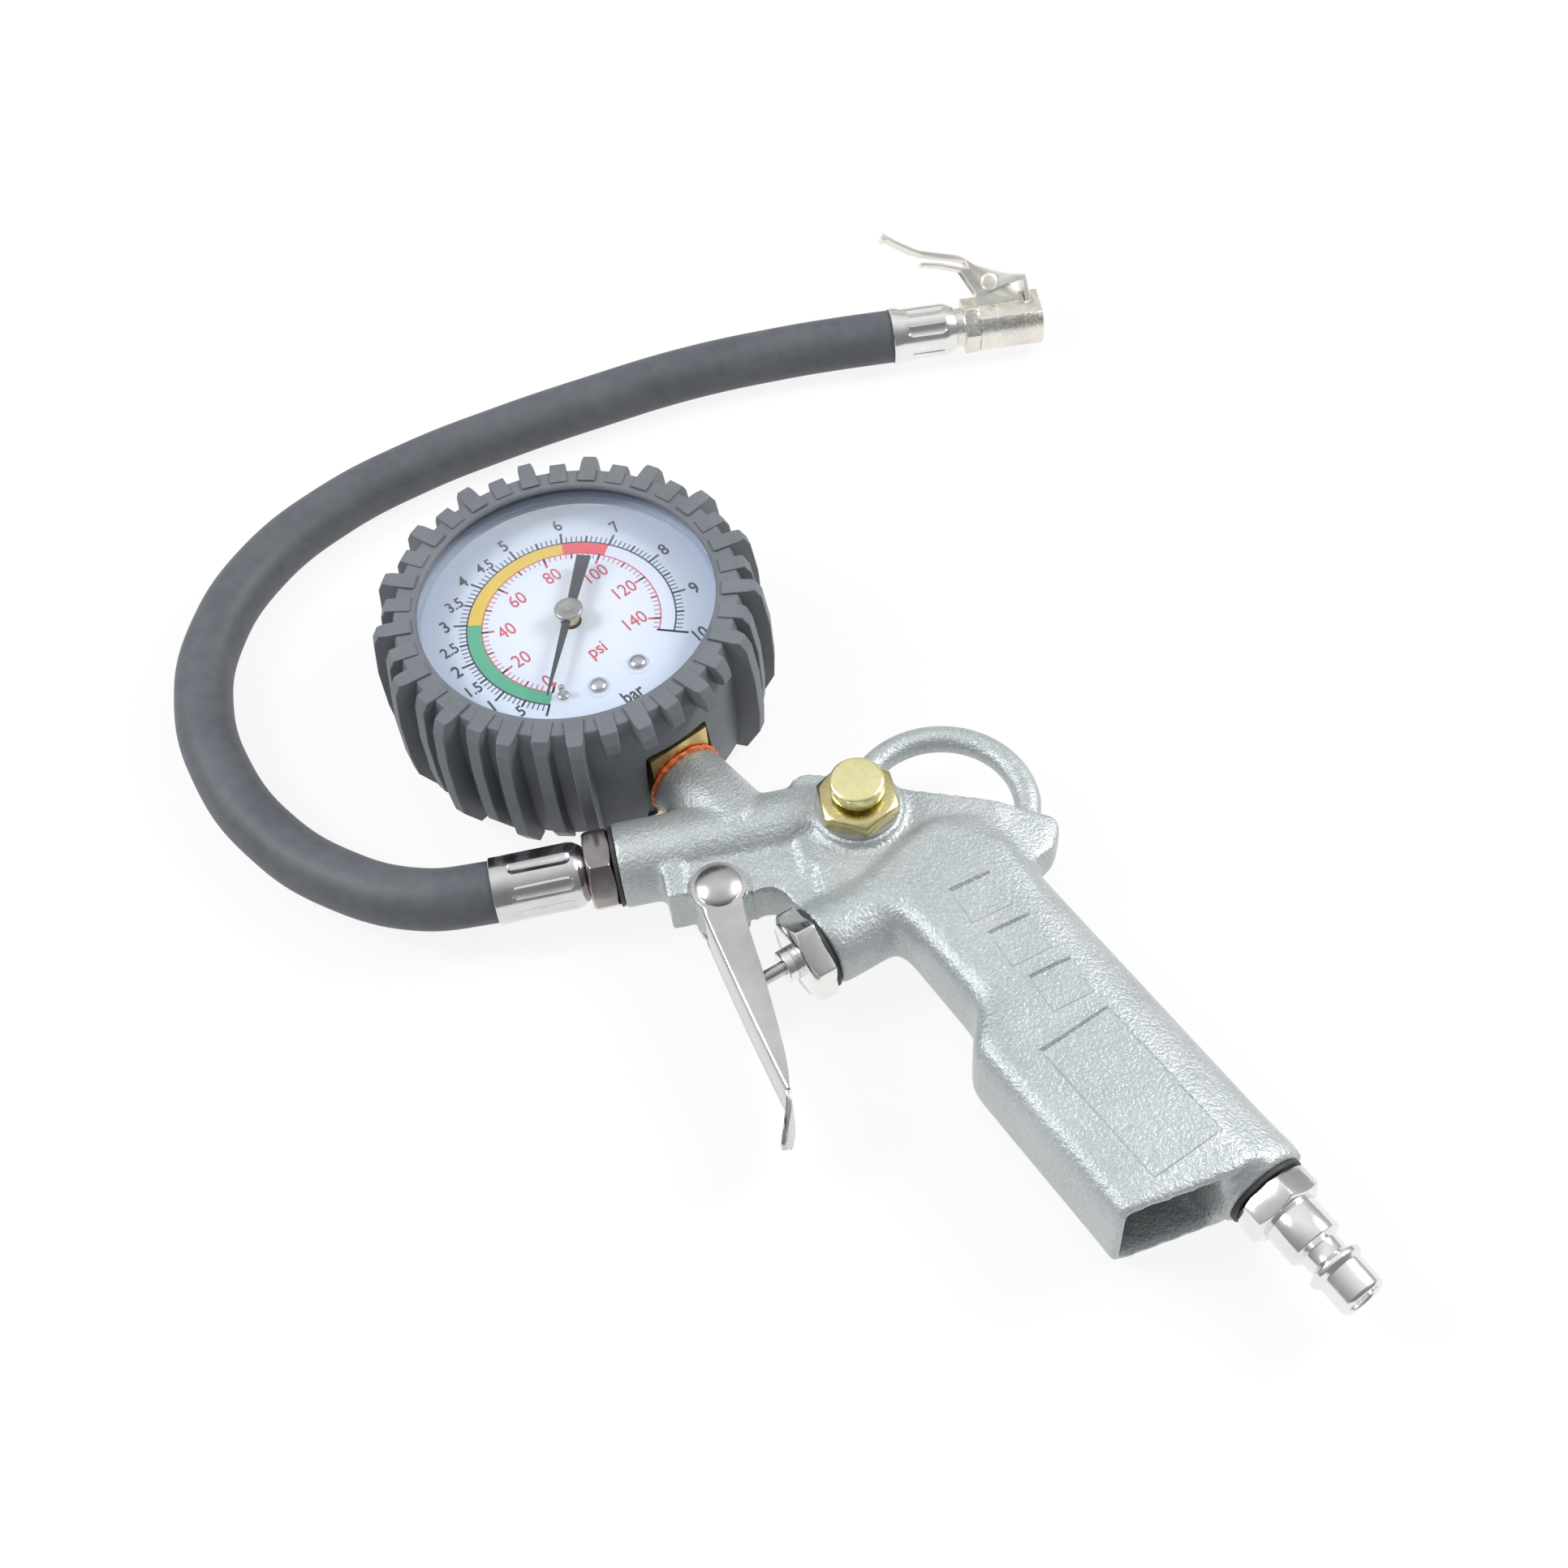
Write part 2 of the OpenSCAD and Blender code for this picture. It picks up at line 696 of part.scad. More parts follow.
plate_len = 31;
plate_half = 9;
plate_low = mid_z + 5.5;
plate_t = 1.5;
plate_gap = 6;
plate_high = plate_low + plate_t + plate_gap;
sector_z = plate_low + plate_t + 1.6;

// Two brass plates on pillars that carry the shafts
module movement_frame() {
    color("#c9a94e") gauge() difference() {
        union() {
            for (z = [plate_low, plate_high]) translate([0, 0, z]) linear_extrude(plate_t)
                union() {
                    translate([0, -plate_half]) square([plate_len, 2 * plate_half]);
                    circle(plate_half);
                }
            for (p = [[28, 7], [28, -7], [-6.5, 0]]) translate([p[0], p[1], plate_low])
                cylinder(r = 1.4, h = plate_gap + 2 * plate_t, $fn = 24);
            dial_posts() translate([0, 0, plate_high])
                cylinder(r = 2.4, h = dial_z - dial_t - plate_high, $fn = 24);
        }
        translate([0, 0, plate_low - 1]) cylinder(r = arbor_r + run_fit, h = 14);
        translate([pinion_r + sector_r, 0, plate_low - 1])
            cylinder(r = arbor_r + run_fit, h = 14);
        dial_posts() translate([0, 0, dial_z - 4]) cylinder(r = 1.1 + thread_fit, h = 6);
    }
}

// Toothed sector with its shaft and its tail for the link
module sector_gear() {
    x = pinion_r + sector_r;
    color("#c9a94e") gauge() translate([x, 0, 0]) {
        translate([0, 0, plate_low + 0.2])
            cylinder(r = arbor_r, h = plate_gap + 2 * plate_t - 0.4);
        rotate([0, 0, -sector_turn / 2]) translate([0, 0, sector_z]) linear_extrude(1.8) {
            intersection() {
                circle(sector_r - 0.15);
                polygon([[0, 0], [-20, 16], [-26, 0], [-20, -16]]);
            }
            circle(3);
            translate([-1, -8]) square([2, 8]);
        }
    }
}
sector_turn = scale_sweep * pinion_r / sector_r;

// Flattened C-shaped pressure tube with its closed tip
module bourdon_tube() {
    color("#c9a94e") gauge() translate([0, 0, mid_z]) {
        rotate([0, 0, 16]) rotate_extrude(angle = tube_tip - 16) translate([bourdon_r, 0])
            square([tube_t, tube_w], center = true);
        rotate([0, 0, tube_tip - 1]) translate([bourdon_r - 2.4, 0, -tube_w / 2 - 0.5])
            cube([4.8, 5, tube_w + 1]);
    }
}
tube_tip = 288;
tube_t = 2.6;
tube_w = 8;

// Link from the tube's tip to a place under the sector's tail
module link_rod() {
    a = tube_tip - 1;
    x = bourdon_r * cos(a) - 2.5 * sin(a);
    y = bourdon_r * sin(a) + 2.5 * cos(a);
    tail = 270 - sector_turn / 2;
    dx = pinion_r + sector_r + 7 * cos(tail) - x;
    dy = 7 * sin(tail) - y;
    color("silver") gauge() translate([x, y, mid_z + 4.5]) {
        cylinder(r = 0.9, h = sector_z - mid_z - 5, $fn = 24);
        translate([0, 0, sector_z - mid_z - 5.8]) rotate([0, 0, atan2(dy, dx)])
            translate([0, -0.8, 0]) cube([norm([dx, dy]), 1.6, 0.8]);
    }
}

// Ribbed rubber boot, open at the front and round the brass socket
module rubber_boot() {
    r = case_r + 0.2;
    top = lens_top + bezel_lip + 0.1;
    color("#2b2d30") gauge() difference() {
        union() {
            rotate_extrude() difference() {
                polygon([
                    [24, 0.5], [26, 0], [r - 1.5, 0], [r + 1.4, 3.5], [r + boot_wall, 12],
                    [r + boot_wall, 31], [r + boot_wall - 1, top], [r + 1, top + lip_t],
                    [lens_view_r + 0.6, top + lip_t], [lens_view_r, top + lip_t - 0.7],
                    [lens_view_r, top], [24, top]
                ]);
                translate([0, case_back_z - 0.1]) square([r, top - case_back_z + 0.1]);
            }
            difference() {
                intersection() {
                    rotate_extrude() rib_profile(rib_tip_r, top + lip_t + 0.6);
                    rib_wedges(0);
                }
                translate([0, 0, -1]) cylinder(r = r + 0.5, h = top + 1);
            }
            difference() {
                intersection() {
                    rotate_extrude() rib_profile(rib_tip_r - rib_drop, top + lip_t + 0.4);
                    rib_wedges(1);
                }
                translate([0, 0, -1]) cylinder(r = r + 0.5, h = top + 1);
            }
        }
        translate([r - 4, 0, 2]) rotate([0, 90, 0]) linear_extrude(20)
            polygon([[0, -10], [-24.6, -8.2], [-24.6, 8.2], [0, 10]]);
        window_clearing();
    }
}

// Ribs stop on each side of the boss's window
module window_clearing() {
    r = case_r + 0.2 + boot_wall;
    translate([0, 0, -1]) difference() {
        linear_extrude(lens_top - 2) polygon([[0, 0], [60, -30], [60, 30]]);
        cylinder(r = r, h = 50);
    }
}

// Section of a rib: flat over the lip, leaning out down the side, then in to the back
module rib_profile(r, top) {
    polygon([
        [lens_view_r + 1.4, top], [r - 2.8, top], [r - 1.4, top - 3], [r - 0.2, 28],
        [r, 16], [r - 0.5, 9], [r - 4.1, 2], [case_r - 2, 2], [case_r - 2, top - 2],
        [lens_view_r + 1.4, top - 1.2]
    ]);
}

// Radial wedges that cut the ribs, every second one
module rib_wedges(first) {
    pitch = 180 / rib_count;
    translate([0, 0, -1]) linear_extrude(50) for (i = [0:rib_count - 1])
        rotate([0, 0, 180 + pitch * (2 * i + first)])
            polygon([
                [lens_view_r, -rib_root_w / 2], [case_r, -rib_root_w / 2],
                [rib_tip_r + 1, -rib_tip_w / 2], [rib_tip_r + 1, rib_tip_w / 2],
                [case_r, rib_root_w / 2], [lens_view_r, rib_root_w / 2]
            ]);
}

// ---------------------------------------------------------------- bleed valve

module bleed_washer() {
    color("black") pistol() bleed() translate([0, 0, bleed_boss_h]) difference() {
        cylinder(r = washer_r, h = seal_t);
        translate([0, 0, -1]) cylinder(r = 5.6, h = seal_t + 2);
    }
}

module bleed_nut() {
    color("#c8b560") pistol() bleed() difference() {
        union() {
            translate([0, 0, nut_base]) hex_bar(bleed_flats, nut_len, 0.8);
            translate([0, 0, bleed_boss_h - shank_len + 0.3])
                cylinder(r = 5.5, h = shank_len + seal_t);
        }
        translate([0, 0, -20]) cylinder(r = button_stem_r + run_fit, h = 60);
        translate([0, 0, bleed_boss_h - shank_len]) cylinder(r = bleed_seat + 2, h = 2.3);
    }
}

module bleed_button() {
    top = nut_base + nut_len + head_lift;
    stem_end = bleed_boss_h - shank_len + 0.6;
    color("#c8b560") pistol() bleed() {
        translate([0, 0, top]) cylinder(r = button_r, h = head_len - 0.5);
        translate([0, 0, top + head_len - 0.5])
            cylinder(r1 = button_r, r2 = button_r - 0.5, h = 0.5);
        translate([0, 0, stem_end]) cylinder(r = button_stem_r, h = top - stem_end + 1);
    }
}

// Rubber poppet under the button's stem
module bleed_poppet() {
    color("black") pistol() bleed() translate([0, 0, bleed_boss_h - shank_len - 1.2])
        cylinder(r = bleed_seat + 1.4, h = 1.8);
}

module bleed_spring() {
    color("silver") pistol() bleed()
        translate([0, 0, bleed_boss_h - bleed_deep])
        coil_spring(bleed_seat + 0.6, 0.35, bleed_deep - shank_len - 1.2, 3);
}

// ---------------------------------------------------------------- trigger and its valve

// Trigger in its rivet's frame: its front edge at a part t of the way down
function trigger_front(t) = -5.4 + 8.2 * t + 1.4 * t * t;
cheek_end = trigger_len - 9;
web_top = lug_r + gap;

cheek_rows = [for (i = [0:8]) -web_top - (cheek_end - web_top) * i / 8];
function front_at(y) = trigger_front((-y - 1.5) / (cheek_end - 1.5));

module cheek_outline() {
    circle(rivet_head_r + 0.9);
    polygon(concat(
        [[front_at(-1.5), -1.5]],
        [for (y = cheek_rows) [front_at(y), y]],
        [
            [front_at(-cheek_end) + trigger_t, -cheek_end], [5.8, 4 - cheek_end],
            [5.9, -38], [5.2, -22], [4.2, -10.5], [4, -4], [4, 0]
        ]
    ));
}

// Channel of sheet metal: two cheeks on the rivet, the curved web and the curled end
module trigger() {
    inner = lug_half + gap;
    outer = inner + trigger_t;
    color("gainsboro") pistol() translate([pivot_x, -pivot_drop, 0]) difference() {
        union() {
            for (s = [0, 1]) mirror([0, 0, s]) translate([0, 0, inner])
                linear_extrude(trigger_t) cheek_outline();
            translate([0, 0, -inner]) linear_extrude(2 * inner) polygon(concat(
                [for (y = cheek_rows) [front_at(y), y]],
                [for (i = [8:-1:0]) [front_at(cheek_rows[i]) + trigger_t, cheek_rows[i]]]
            ));
            tip_blade(outer - 0.5, cheek_end - 0.5);
        }
        translate([0, 0, -outer - 1]) cylinder(r = rivet_r + run_fit, h = 2 * outer + 2);
    }
}

// Length of the valve's stem in front of the valve tube, up to the trigger's web
function stem_to(s) = (valve_x - pivot_x - trigger_t - stem_gap
    - front_at(valve_y + pivot_drop - s * sin(valve_lean))) / cos(valve_lean);
stem_out = stem_to(stem_to(stem_to(19)));

// Flat end of the trigger, curled forwards
module tip_blade(half, from) {
    start = trigger_front(1);
    bend_r = 16;
    turn = 38;
    translate([start + trigger_t - bend_r, -from, 0]) rotate([0, 0, -turn])
        rotate_extrude(angle = turn) translate([bend_r - trigger_t, -half])
            square([trigger_t, 2 * half]);
}

module trigger_pin() {
    outer = lug_half + gap + trigger_t;
    color("lightgray") pistol() translate([pivot_x, -pivot_drop, 0]) {
        translate([0, 0, -outer - 0.1]) cylinder(r = rivet_r, h = 2 * outer + 0.2);
        for (s = [0, 1]) mirror([0, 0, s]) translate([0, 0, outer + 0.1]) {
            cylinder(r = rivet_head_r, h = 0.6);
            translate([0, 0, 0.6]) intersection() {
                translate([0, 0, -rivet_head_r * 1.6]) sphere(rivet_head_r * 1.887);
                cylinder(r = rivet_head_r, h = 3);
            }
        }
    }
}

module valve_cap() {
    color("silver") pistol() valve() difference() {
        union() {
            translate([0, 0, -seal_t]) mirror([0, 0, 1]) rotate([0, 0, 30])
                hex_bar(cap_flats, cap_len, 1.6);
            translate([0, 0, -seal_t - cap_len - collar_len])
                cylinder(r = 3.8, h = collar_len + 1);
            translate([0, 0, -seal_t]) cylinder(r = chamber_r, h = seat_at + seal_t);
        }
        translate([0, 0, -30]) cylinder(r = valve_stem_r + run_fit, h = 60);
    }
}

module cap_seal() {
    color("black") pistol() valve() translate([0, 0, -seal_t]) difference() {
        cylinder(r = valve_tube_r - 0.3, h = seal_t);
        translate([0, 0, -1]) cylinder(r = chamber_r + 0.1, h = seal_t + 2);
    }
}

module valve_seat() {
    color("goldenrod") pistol() valve() translate([0, 0, seat_at]) difference() {
        cylinder(r = chamber_r, h = seat_len);
        translate([0, 0, -1]) cylinder(r = 2.6, h = seat_len + 2);
    }
}

module valve_stem() {
    color("silver") pistol() valve() translate([0, 0, -stem_out])
        cylinder(r = valve_stem_r, h = stem_out + seat_at + seat_len + 0.1);
}

module valve_piston() {
    color("#3a3a3a") pistol() valve() translate([0, 0, seat_at + seat_len + 0.1]) {
        cylinder(r = 4.4, h = piston_len - 1.4);
        cylinder(r = 2.2, h = piston_len);
    }
}

module valve_spring() {
    start = seat_at + seat_len + 0.1 + piston_len - 1.4;
    color("silver") pistol() valve() translate([0, 0, start])
        coil_spring(3.3, 0.45, spring_end - start, 5);
}

// ---------------------------------------------------------------- air inlet

module inlet_plug() {
    neck_at = plug_start + plug_hex_len + plug_body_len;
    collar_at = neck_at + plug_neck_len;
    nose_at = collar_at + plug_collar_len;
    color("silver") pistol() inlet() difference() {
        union() {
            translate([0, 0, inlet_end - 11.5]) cylinder(r = plug_thread_r, h = 13);
            translate([0, 0, plug_start]) hex_bar(plug_flats, plug_hex_len, 0.9);
            translate([0, 0, plug_start]) cylinder(r = plug_body_r,
                h = plug_hex_len + plug_body_len - 1);
            translate([0, 0, neck_at - 1])
                cylinder(r1 = plug_body_r, r2 = plug_nose_r - 0.7, h = 1);
            translate([0, 0, neck_at]) cylinder(r = plug_nose_r - 0.7, h = plug_neck_len + 1);
            translate([0, 0, collar_at])
                cylinder(r1 = plug_nose_r - 0.7, r2 = plug_body_r, h = 0.9);
            translate([0, 0, collar_at + 0.9])
                cylinder(r = plug_body_r, h = plug_collar_len - 1.8);
            translate([0, 0, nose_at - 0.9])
                cylinder(r1 = plug_body_r, r2 = plug_nose_r, h = 0.9);
            translate([0, 0, nose_at]) cylinder(r = plug_nose_r, h = plug_nose_len);
        }
        translate([0, 0, inlet_end - 20]) cylinder(r = plug_bore_r, h = 60);
    }
}

module inlet_seal() {
    color("black") pistol() inlet() translate([0, 0, inlet_end]) difference() {
        cylinder(r = 8.6, h = seal_t);
        translate([0, 0, -1]) cylinder(r = plug_thread_r + 0.1, h = seal_t + 2);
    }
}

// ---------------------------------------------------------------- hose and ferrules

// Crimped ferrule from its flared rim at the hose to its closed shoulder
module ferrule(len, body_r) {
    difference() {
        union() {
            cylinder(r = ferrule_r, h = hose_in + 0.6);
            translate([0, 0, hose_in + 0.6]) cylinder(r1 = ferrule_r, r2 = body_r, h = 1);
            translate([0, 0, hose_in + 1.6]) cylinder(r = body_r, h = len - hose_in - 3.6);
            translate([0, 0, len - 2]) cylinder(r1 = body_r, r2 = 5.6, h = 2);
        }
        translate([0, 0, -1]) cylinder(r = hose_r + 0.1, h = hose_in + 1);
        cylinder(r = 4 + thread_fit, h = len + 1);
        for (i = [0:7]) rotate([0, 0, 45 * i]) translate([body_r - 0.6, -2, hose_in + 2.4])
            cube([3, 4, len - hose_in - 5.6]);
    }
}

module ferrule_gun() {
    color("whitesmoke") pistol()
        translate([-seal_t - nipple_len - gun_ferrule_len, 0, 0]) rotate([0, 90, 0])
        ferrule(gun_ferrule_len, ferrule_r - 0.1);
}

module ferrule_chuck() {
    color("whitesmoke") chuck() rotate([0, 90, 0]) ferrule(chuck_ferrule_len, hose_r);
}

// Frame of the route at point i: unit tangent, then two unit normals
function unit(v) = v / norm(v);
function tangent(i) = unit(route[min(i + 1, len(route) - 1)] - route[max(i - 1, 0)]);
function side(i) = unit(cross([0, 0, 1], tangent(i)));
function up(i) = cross(tangent(i), side(i));

module hose() {
    n = len(route);
    k = hose_sides;
    points = [
        for (i = [0:n - 1], j = [0:k - 1])
            route[i] + hose_r * (cos(360 * j / k) * side(i) + sin(360 * j / k) * up(i))
    ];
    color("#43464b") translate([-origin_x, -origin_y, 0]) polyhedron(points, concat(
        [[for (j = [0:k - 1]) j]],
        [for (i = [0:n - 2], j = [0:k - 1], t = [0, 1])
            let (a = i * k + j, b = i * k + (j + 1) % k)
            t == 0 ? [a, a + k, b] : [b, a + k, b + k]],
        [[for (j = [k - 1:-1:0]) (n - 1) * k + j]]
    ));
}

// ---------------------------------------------------------------- tyre chuck

// Hex collar with a thinner neck at the ferrule
module chuck_collar() {
    color("silver") chuck() translate([chuck_ferrule_len, 0, 0]) rotate([0, 90, 0])
        difference() {
            union() {
                cylinder(r = 5, h = neck_w + 1);
                translate([0, 0, neck_w]) rotate([0, 0, chuck_roll - 15])
                    hex_bar(collar_flats, collar_w);
            }
            translate([0, 0, -1]) cylinder(r = 4 + thread_fit, h = neck_w + collar_w + 2);
        }
}

// Round bar with two flats that lie level
module flatted_bar(r, flat, h) {
    intersection() {
        rotate([0, 90, 0]) cylinder(r = r, h = h);
        rotate([-chuck_roll, 0, 0]) translate([-1, -r - 1, -flat])
            cube([h + 2, 2 * r + 2, 2 * flat]);
    }
}

// Body with the mouth, the seal's pocket behind it and the slot for the claw
module chuck_body() {
    color("silver") chuck() difference() {
        translate([body_at, 0, 0]) flatted_bar(chuck_r, chuck_flat, chuck_len);
        translate([seal_end - 0.01, 0, 0]) rotate([0, 90, 0])
            cylinder(r = mouth_r, h = mouth_depth);
        translate([seal_end - seal_len, 0, 0]) rotate([0, 90, 0])
            cylinder(r = mouth_r + 0.6, h = seal_len);
        translate([body_at - 1, 0, 0]) rotate([0, 90, 0])
            cylinder(r = 2, h = chuck_len - 3);
        translate([claw_at - 0.4, mouth_r - 0.6, -clip_half - 4])
            cube([2.3, 10, 2 * clip_half + 8]);
    }
}
seal_len = 1.6;
seal_end = chuck_end - mouth_depth + seal_len;

module chuck_seal() {
    color("black") chuck() translate([seal_end - seal_len, 0, 0]) rotate([0, 90, 0])
        difference() {
            cylinder(r = mouth_r + 0.55, h = seal_len);
            translate([0, 0, -1]) cylinder(r = 2, h = 4);
        }
}

// Fixed pin that holds the tyre valve open
module chuck_core() {
    start = body_at + 3;
    color("goldenrod") chuck() translate([start, 0, 0]) rotate([0, 90, 0]) {
        cylinder(r = 1.95, h = seal_end - seal_len - start - 0.2);
        cylinder(r = 0.9, h = seal_end - start - 0.05);
    }
}

// Sheet-metal saddle on the body, with the clip's ears and the fixed finger rest
module chuck_bracket() {
    inner = clip_half - clip_t - gap;
    x = clip_pivot;
    color("silver") chuck() difference() {
        union() {
            for (s = [0, 1]) mirror([0, 0, s]) translate([0, 0, inner - clip_t])
                linear_extrude(clip_t) polygon([
                    [x - 7.4, 15.1], [x - 3.6, 13.7], [x + 1.8, 12.8], [x + 5, 9.4],
                    [x + 7.6, 8.2], [x + 7.6, 3], [body_at + 0.1, 3],
                    [body_at + 0.1, collar_flats / sqrt(3) + 0.9]
                ]);
            translate([0, 0, -inner]) linear_extrude(2 * inner) polygon([
                [body_at + 0.1, 5], [x + 7.6, 5], [x + 7.6, chuck_r + clip_t],
                [body_at + 0.1, chuck_r + clip_t]
            ]);
            translate([0, 0, -inner]) linear_extrude(2 * inner) polygon([
                [x - 3.6, 13.2], [x - 8.3, 14.9], [x - 12.2, 16.2], [x - 17.3, 17.1],
                [x - 17.3, 17.9], [x - 12, 17], [x - 8, 15.7], [x - 3.2, 14]
            ]);
        }
        flatted_bar(chuck_r + 0.02, chuck_flat + 0.02, 60);
        translate([x, clip_pivot_c, -10]) cylinder(r = clip_rivet_r + 0.05, h = 20);
        translate([x, clip_pivot_c, -2.3]) cylinder(r = clip_spring_r + 0.3, h = 4.6);
    }
}

// Sprung clip: thumb lever, two cheeks and the claw over the mouth
module chuck_clip() {
    claw = mouth_r + 0.3;
    x = clip_pivot;
    color("silver") chuck() difference() {
        union() {
            for (s = [0, 1]) mirror([0, 0, s]) translate([0, 0, clip_half - clip_t])
                linear_extrude(clip_t) polygon([
                    [x - 5.3, 16.6], [x - 4.5, 17.4], [x - 3.5, 15.4], [x + 5.7, 11.7],
                    [claw_at + 0.9, 11.4], [claw_at + 0.9, 10.4], [x + 4.8, 9.2],
                    [x + 0.3, 7.9], [x - 0.9, 8], [x - 3.9, 12.3]
                ]);
            translate([0, 0, -clip_half]) linear_extrude(2 * clip_half) polygon([
                [x - 4.5, 17.4], [x - 5.3, 16.6], [x - 7.9, 17.6], [x - 14.5, 19.2],
                [x - 17.1, 19.9], [x - 19.7, 21.2], [x - 23.3, 23.4], [x - 25.5, 25],
                [x - 25.1, 25.7], [x - 22.9, 24.1], [x - 19.3, 21.9], [x - 16.8, 20.7],
                [x - 14.3, 20], [x - 7.6, 18.4]
            ]);
            translate([x - 26.1, 25.7, -clip_half]) cylinder(r = 0.9, h = 2 * clip_half);
            translate([claw_at, claw, -clip_half]) cube([clip_t, 11.4 - claw, 2 * clip_half]);
        }
        translate([x, clip_pivot_c, -10]) cylinder(r = clip_rivet_r + run_fit, h = 20);
    }
}

module chuck_pin() {
    color("lightgray") chuck() translate([clip_pivot, clip_pivot_c, 0]) {
        translate([0, 0, -clip_half - 0.1]) cylinder(r = clip_rivet_r, h = 2 * clip_half + 0.2);
        for (s = [0, 1]) mirror([0, 0, s]) translate([0, 0, clip_half + 0.1])
            cylinder(r1 = 2.4, r2 = 1.8, h = 0.8);
    }
}

module chuck_spring() {
    color("silver") chuck() translate([clip_pivot, clip_pivot_c, -2])
        coil_spring(clip_spring_r - 0.35, 0.35, 4, 4);
}
clip_spring_r = clip_rivet_r + 0.95;

cast_body();
nipple_seal();
hose_nipple();
gauge_socket();
gauge_case();
bezel_ring();
lens();
dial_plate();
dial_screws();
stop_pin();
needle();
pointer_shaft();
sector_gear();
movement_frame();
bourdon_tube();
link_rod();
rubber_boot();
bleed_washer();
bleed_nut();
bleed_button();
bleed_poppet();
bleed_spring();
trigger();
trigger_pin();
valve_cap();
cap_seal();
valve_seat();
valve_stem();
valve_piston();
valve_spring();
inlet_plug();
inlet_seal();
hose();
ferrule_gun();
ferrule_chuck();
chuck_collar();
chuck_body();
chuck_seal();
chuck_core();
chuck_bracket();
chuck_clip();
chuck_pin();
chuck_spring();
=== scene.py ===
"""Portable tyre inflator: pistol casting, booted dial gauge, trigger, bleed valve, inlet
plug and a short hose with a clip-on chuck. Pieces are made in millimetres on a bench at
the origin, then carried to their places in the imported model's frame, which is in metres."""

import math

import bpy
from mathutils import Matrix, Vector


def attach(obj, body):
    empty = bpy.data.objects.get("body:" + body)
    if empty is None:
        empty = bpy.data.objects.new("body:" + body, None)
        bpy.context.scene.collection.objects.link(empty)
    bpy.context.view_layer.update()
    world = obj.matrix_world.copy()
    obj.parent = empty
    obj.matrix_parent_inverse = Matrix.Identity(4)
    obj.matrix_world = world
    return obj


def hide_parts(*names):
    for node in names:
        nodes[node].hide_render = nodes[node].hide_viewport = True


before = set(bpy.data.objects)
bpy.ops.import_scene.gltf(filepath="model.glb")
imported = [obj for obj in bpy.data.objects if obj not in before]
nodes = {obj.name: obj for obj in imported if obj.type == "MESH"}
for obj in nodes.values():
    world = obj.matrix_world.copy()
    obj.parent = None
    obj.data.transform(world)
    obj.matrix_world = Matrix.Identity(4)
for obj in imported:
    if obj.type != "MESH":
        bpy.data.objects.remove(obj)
bpy.ops.object.select_all(action="DESELECT")
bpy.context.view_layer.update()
MM = 0.001

# ---------------------------------------------------------------- camera
# A still camera on a stand at about arm's length, above the table and a little left of
# the grip, looking down at the part.
camera_data = bpy.data.cameras.new("camera")
camera_data.lens = 46.58
camera_data.sensor_width = 36
camera = bpy.data.objects.new("camera", camera_data)
bpy.context.scene.collection.objects.link(camera)
right = Vector((0.97787, -0.19989, -0.06183)).normalized()
back = -Vector((0.06512, 0.57160, -0.81794)).normalized()
turn = Matrix((right, back.cross(right), back)).transposed().to_4x4()
camera.matrix_world = Matrix.Translation((-0.030696, -0.234541, 0.388)) @ turn
bpy.context.scene.camera = camera


# ---------------------------------------------------------------- hose
# Smooth black rubber air hose, 14 mm outside. It leaves the crimped ferrule at the
# pistol, turns round the gauge and lies on the table up to the chuck's ferrule.
class Wire:
    """A shader value. Sums on it add Math nodes to its tree."""

    def __init__(self, tree, socket):
        self.tree, self.socket = tree, socket

    def math(self, operation, *values, clamp=False):
        node = self.tree.nodes.new("ShaderNodeMath")
        node.operation = operation
        node.use_clamp = clamp
        for place, value in zip(node.inputs, values):
            if isinstance(value, Wire):
                self.tree.links.new(value.socket, place)
            else:
                place.default_value = value
        return Wire(self.tree, node.outputs[0])

    def __add__(self, other):
        return self.math("ADD", self, other)

    def __radd__(self, other):
        return self.math("ADD", other, self)

    def __sub__(self, other):
        return self.math("SUBTRACT", self, other)

    def __rsub__(self, other):
        return self.math("SUBTRACT", other, self)

    def __mul__(self, other):
        return self.math("MULTIPLY", self, other)

    def __rmul__(self, other):
        return self.math("MULTIPLY", other, self)

    def __gt__(self, other):
        return self.math("GREATER_THAN", self, other)

    def band(self, low, high):
        """0 below low, 1 above high, straight between."""
        return self.math("MULTIPLY", self - low, 1.0 / (high - low), clamp=True)


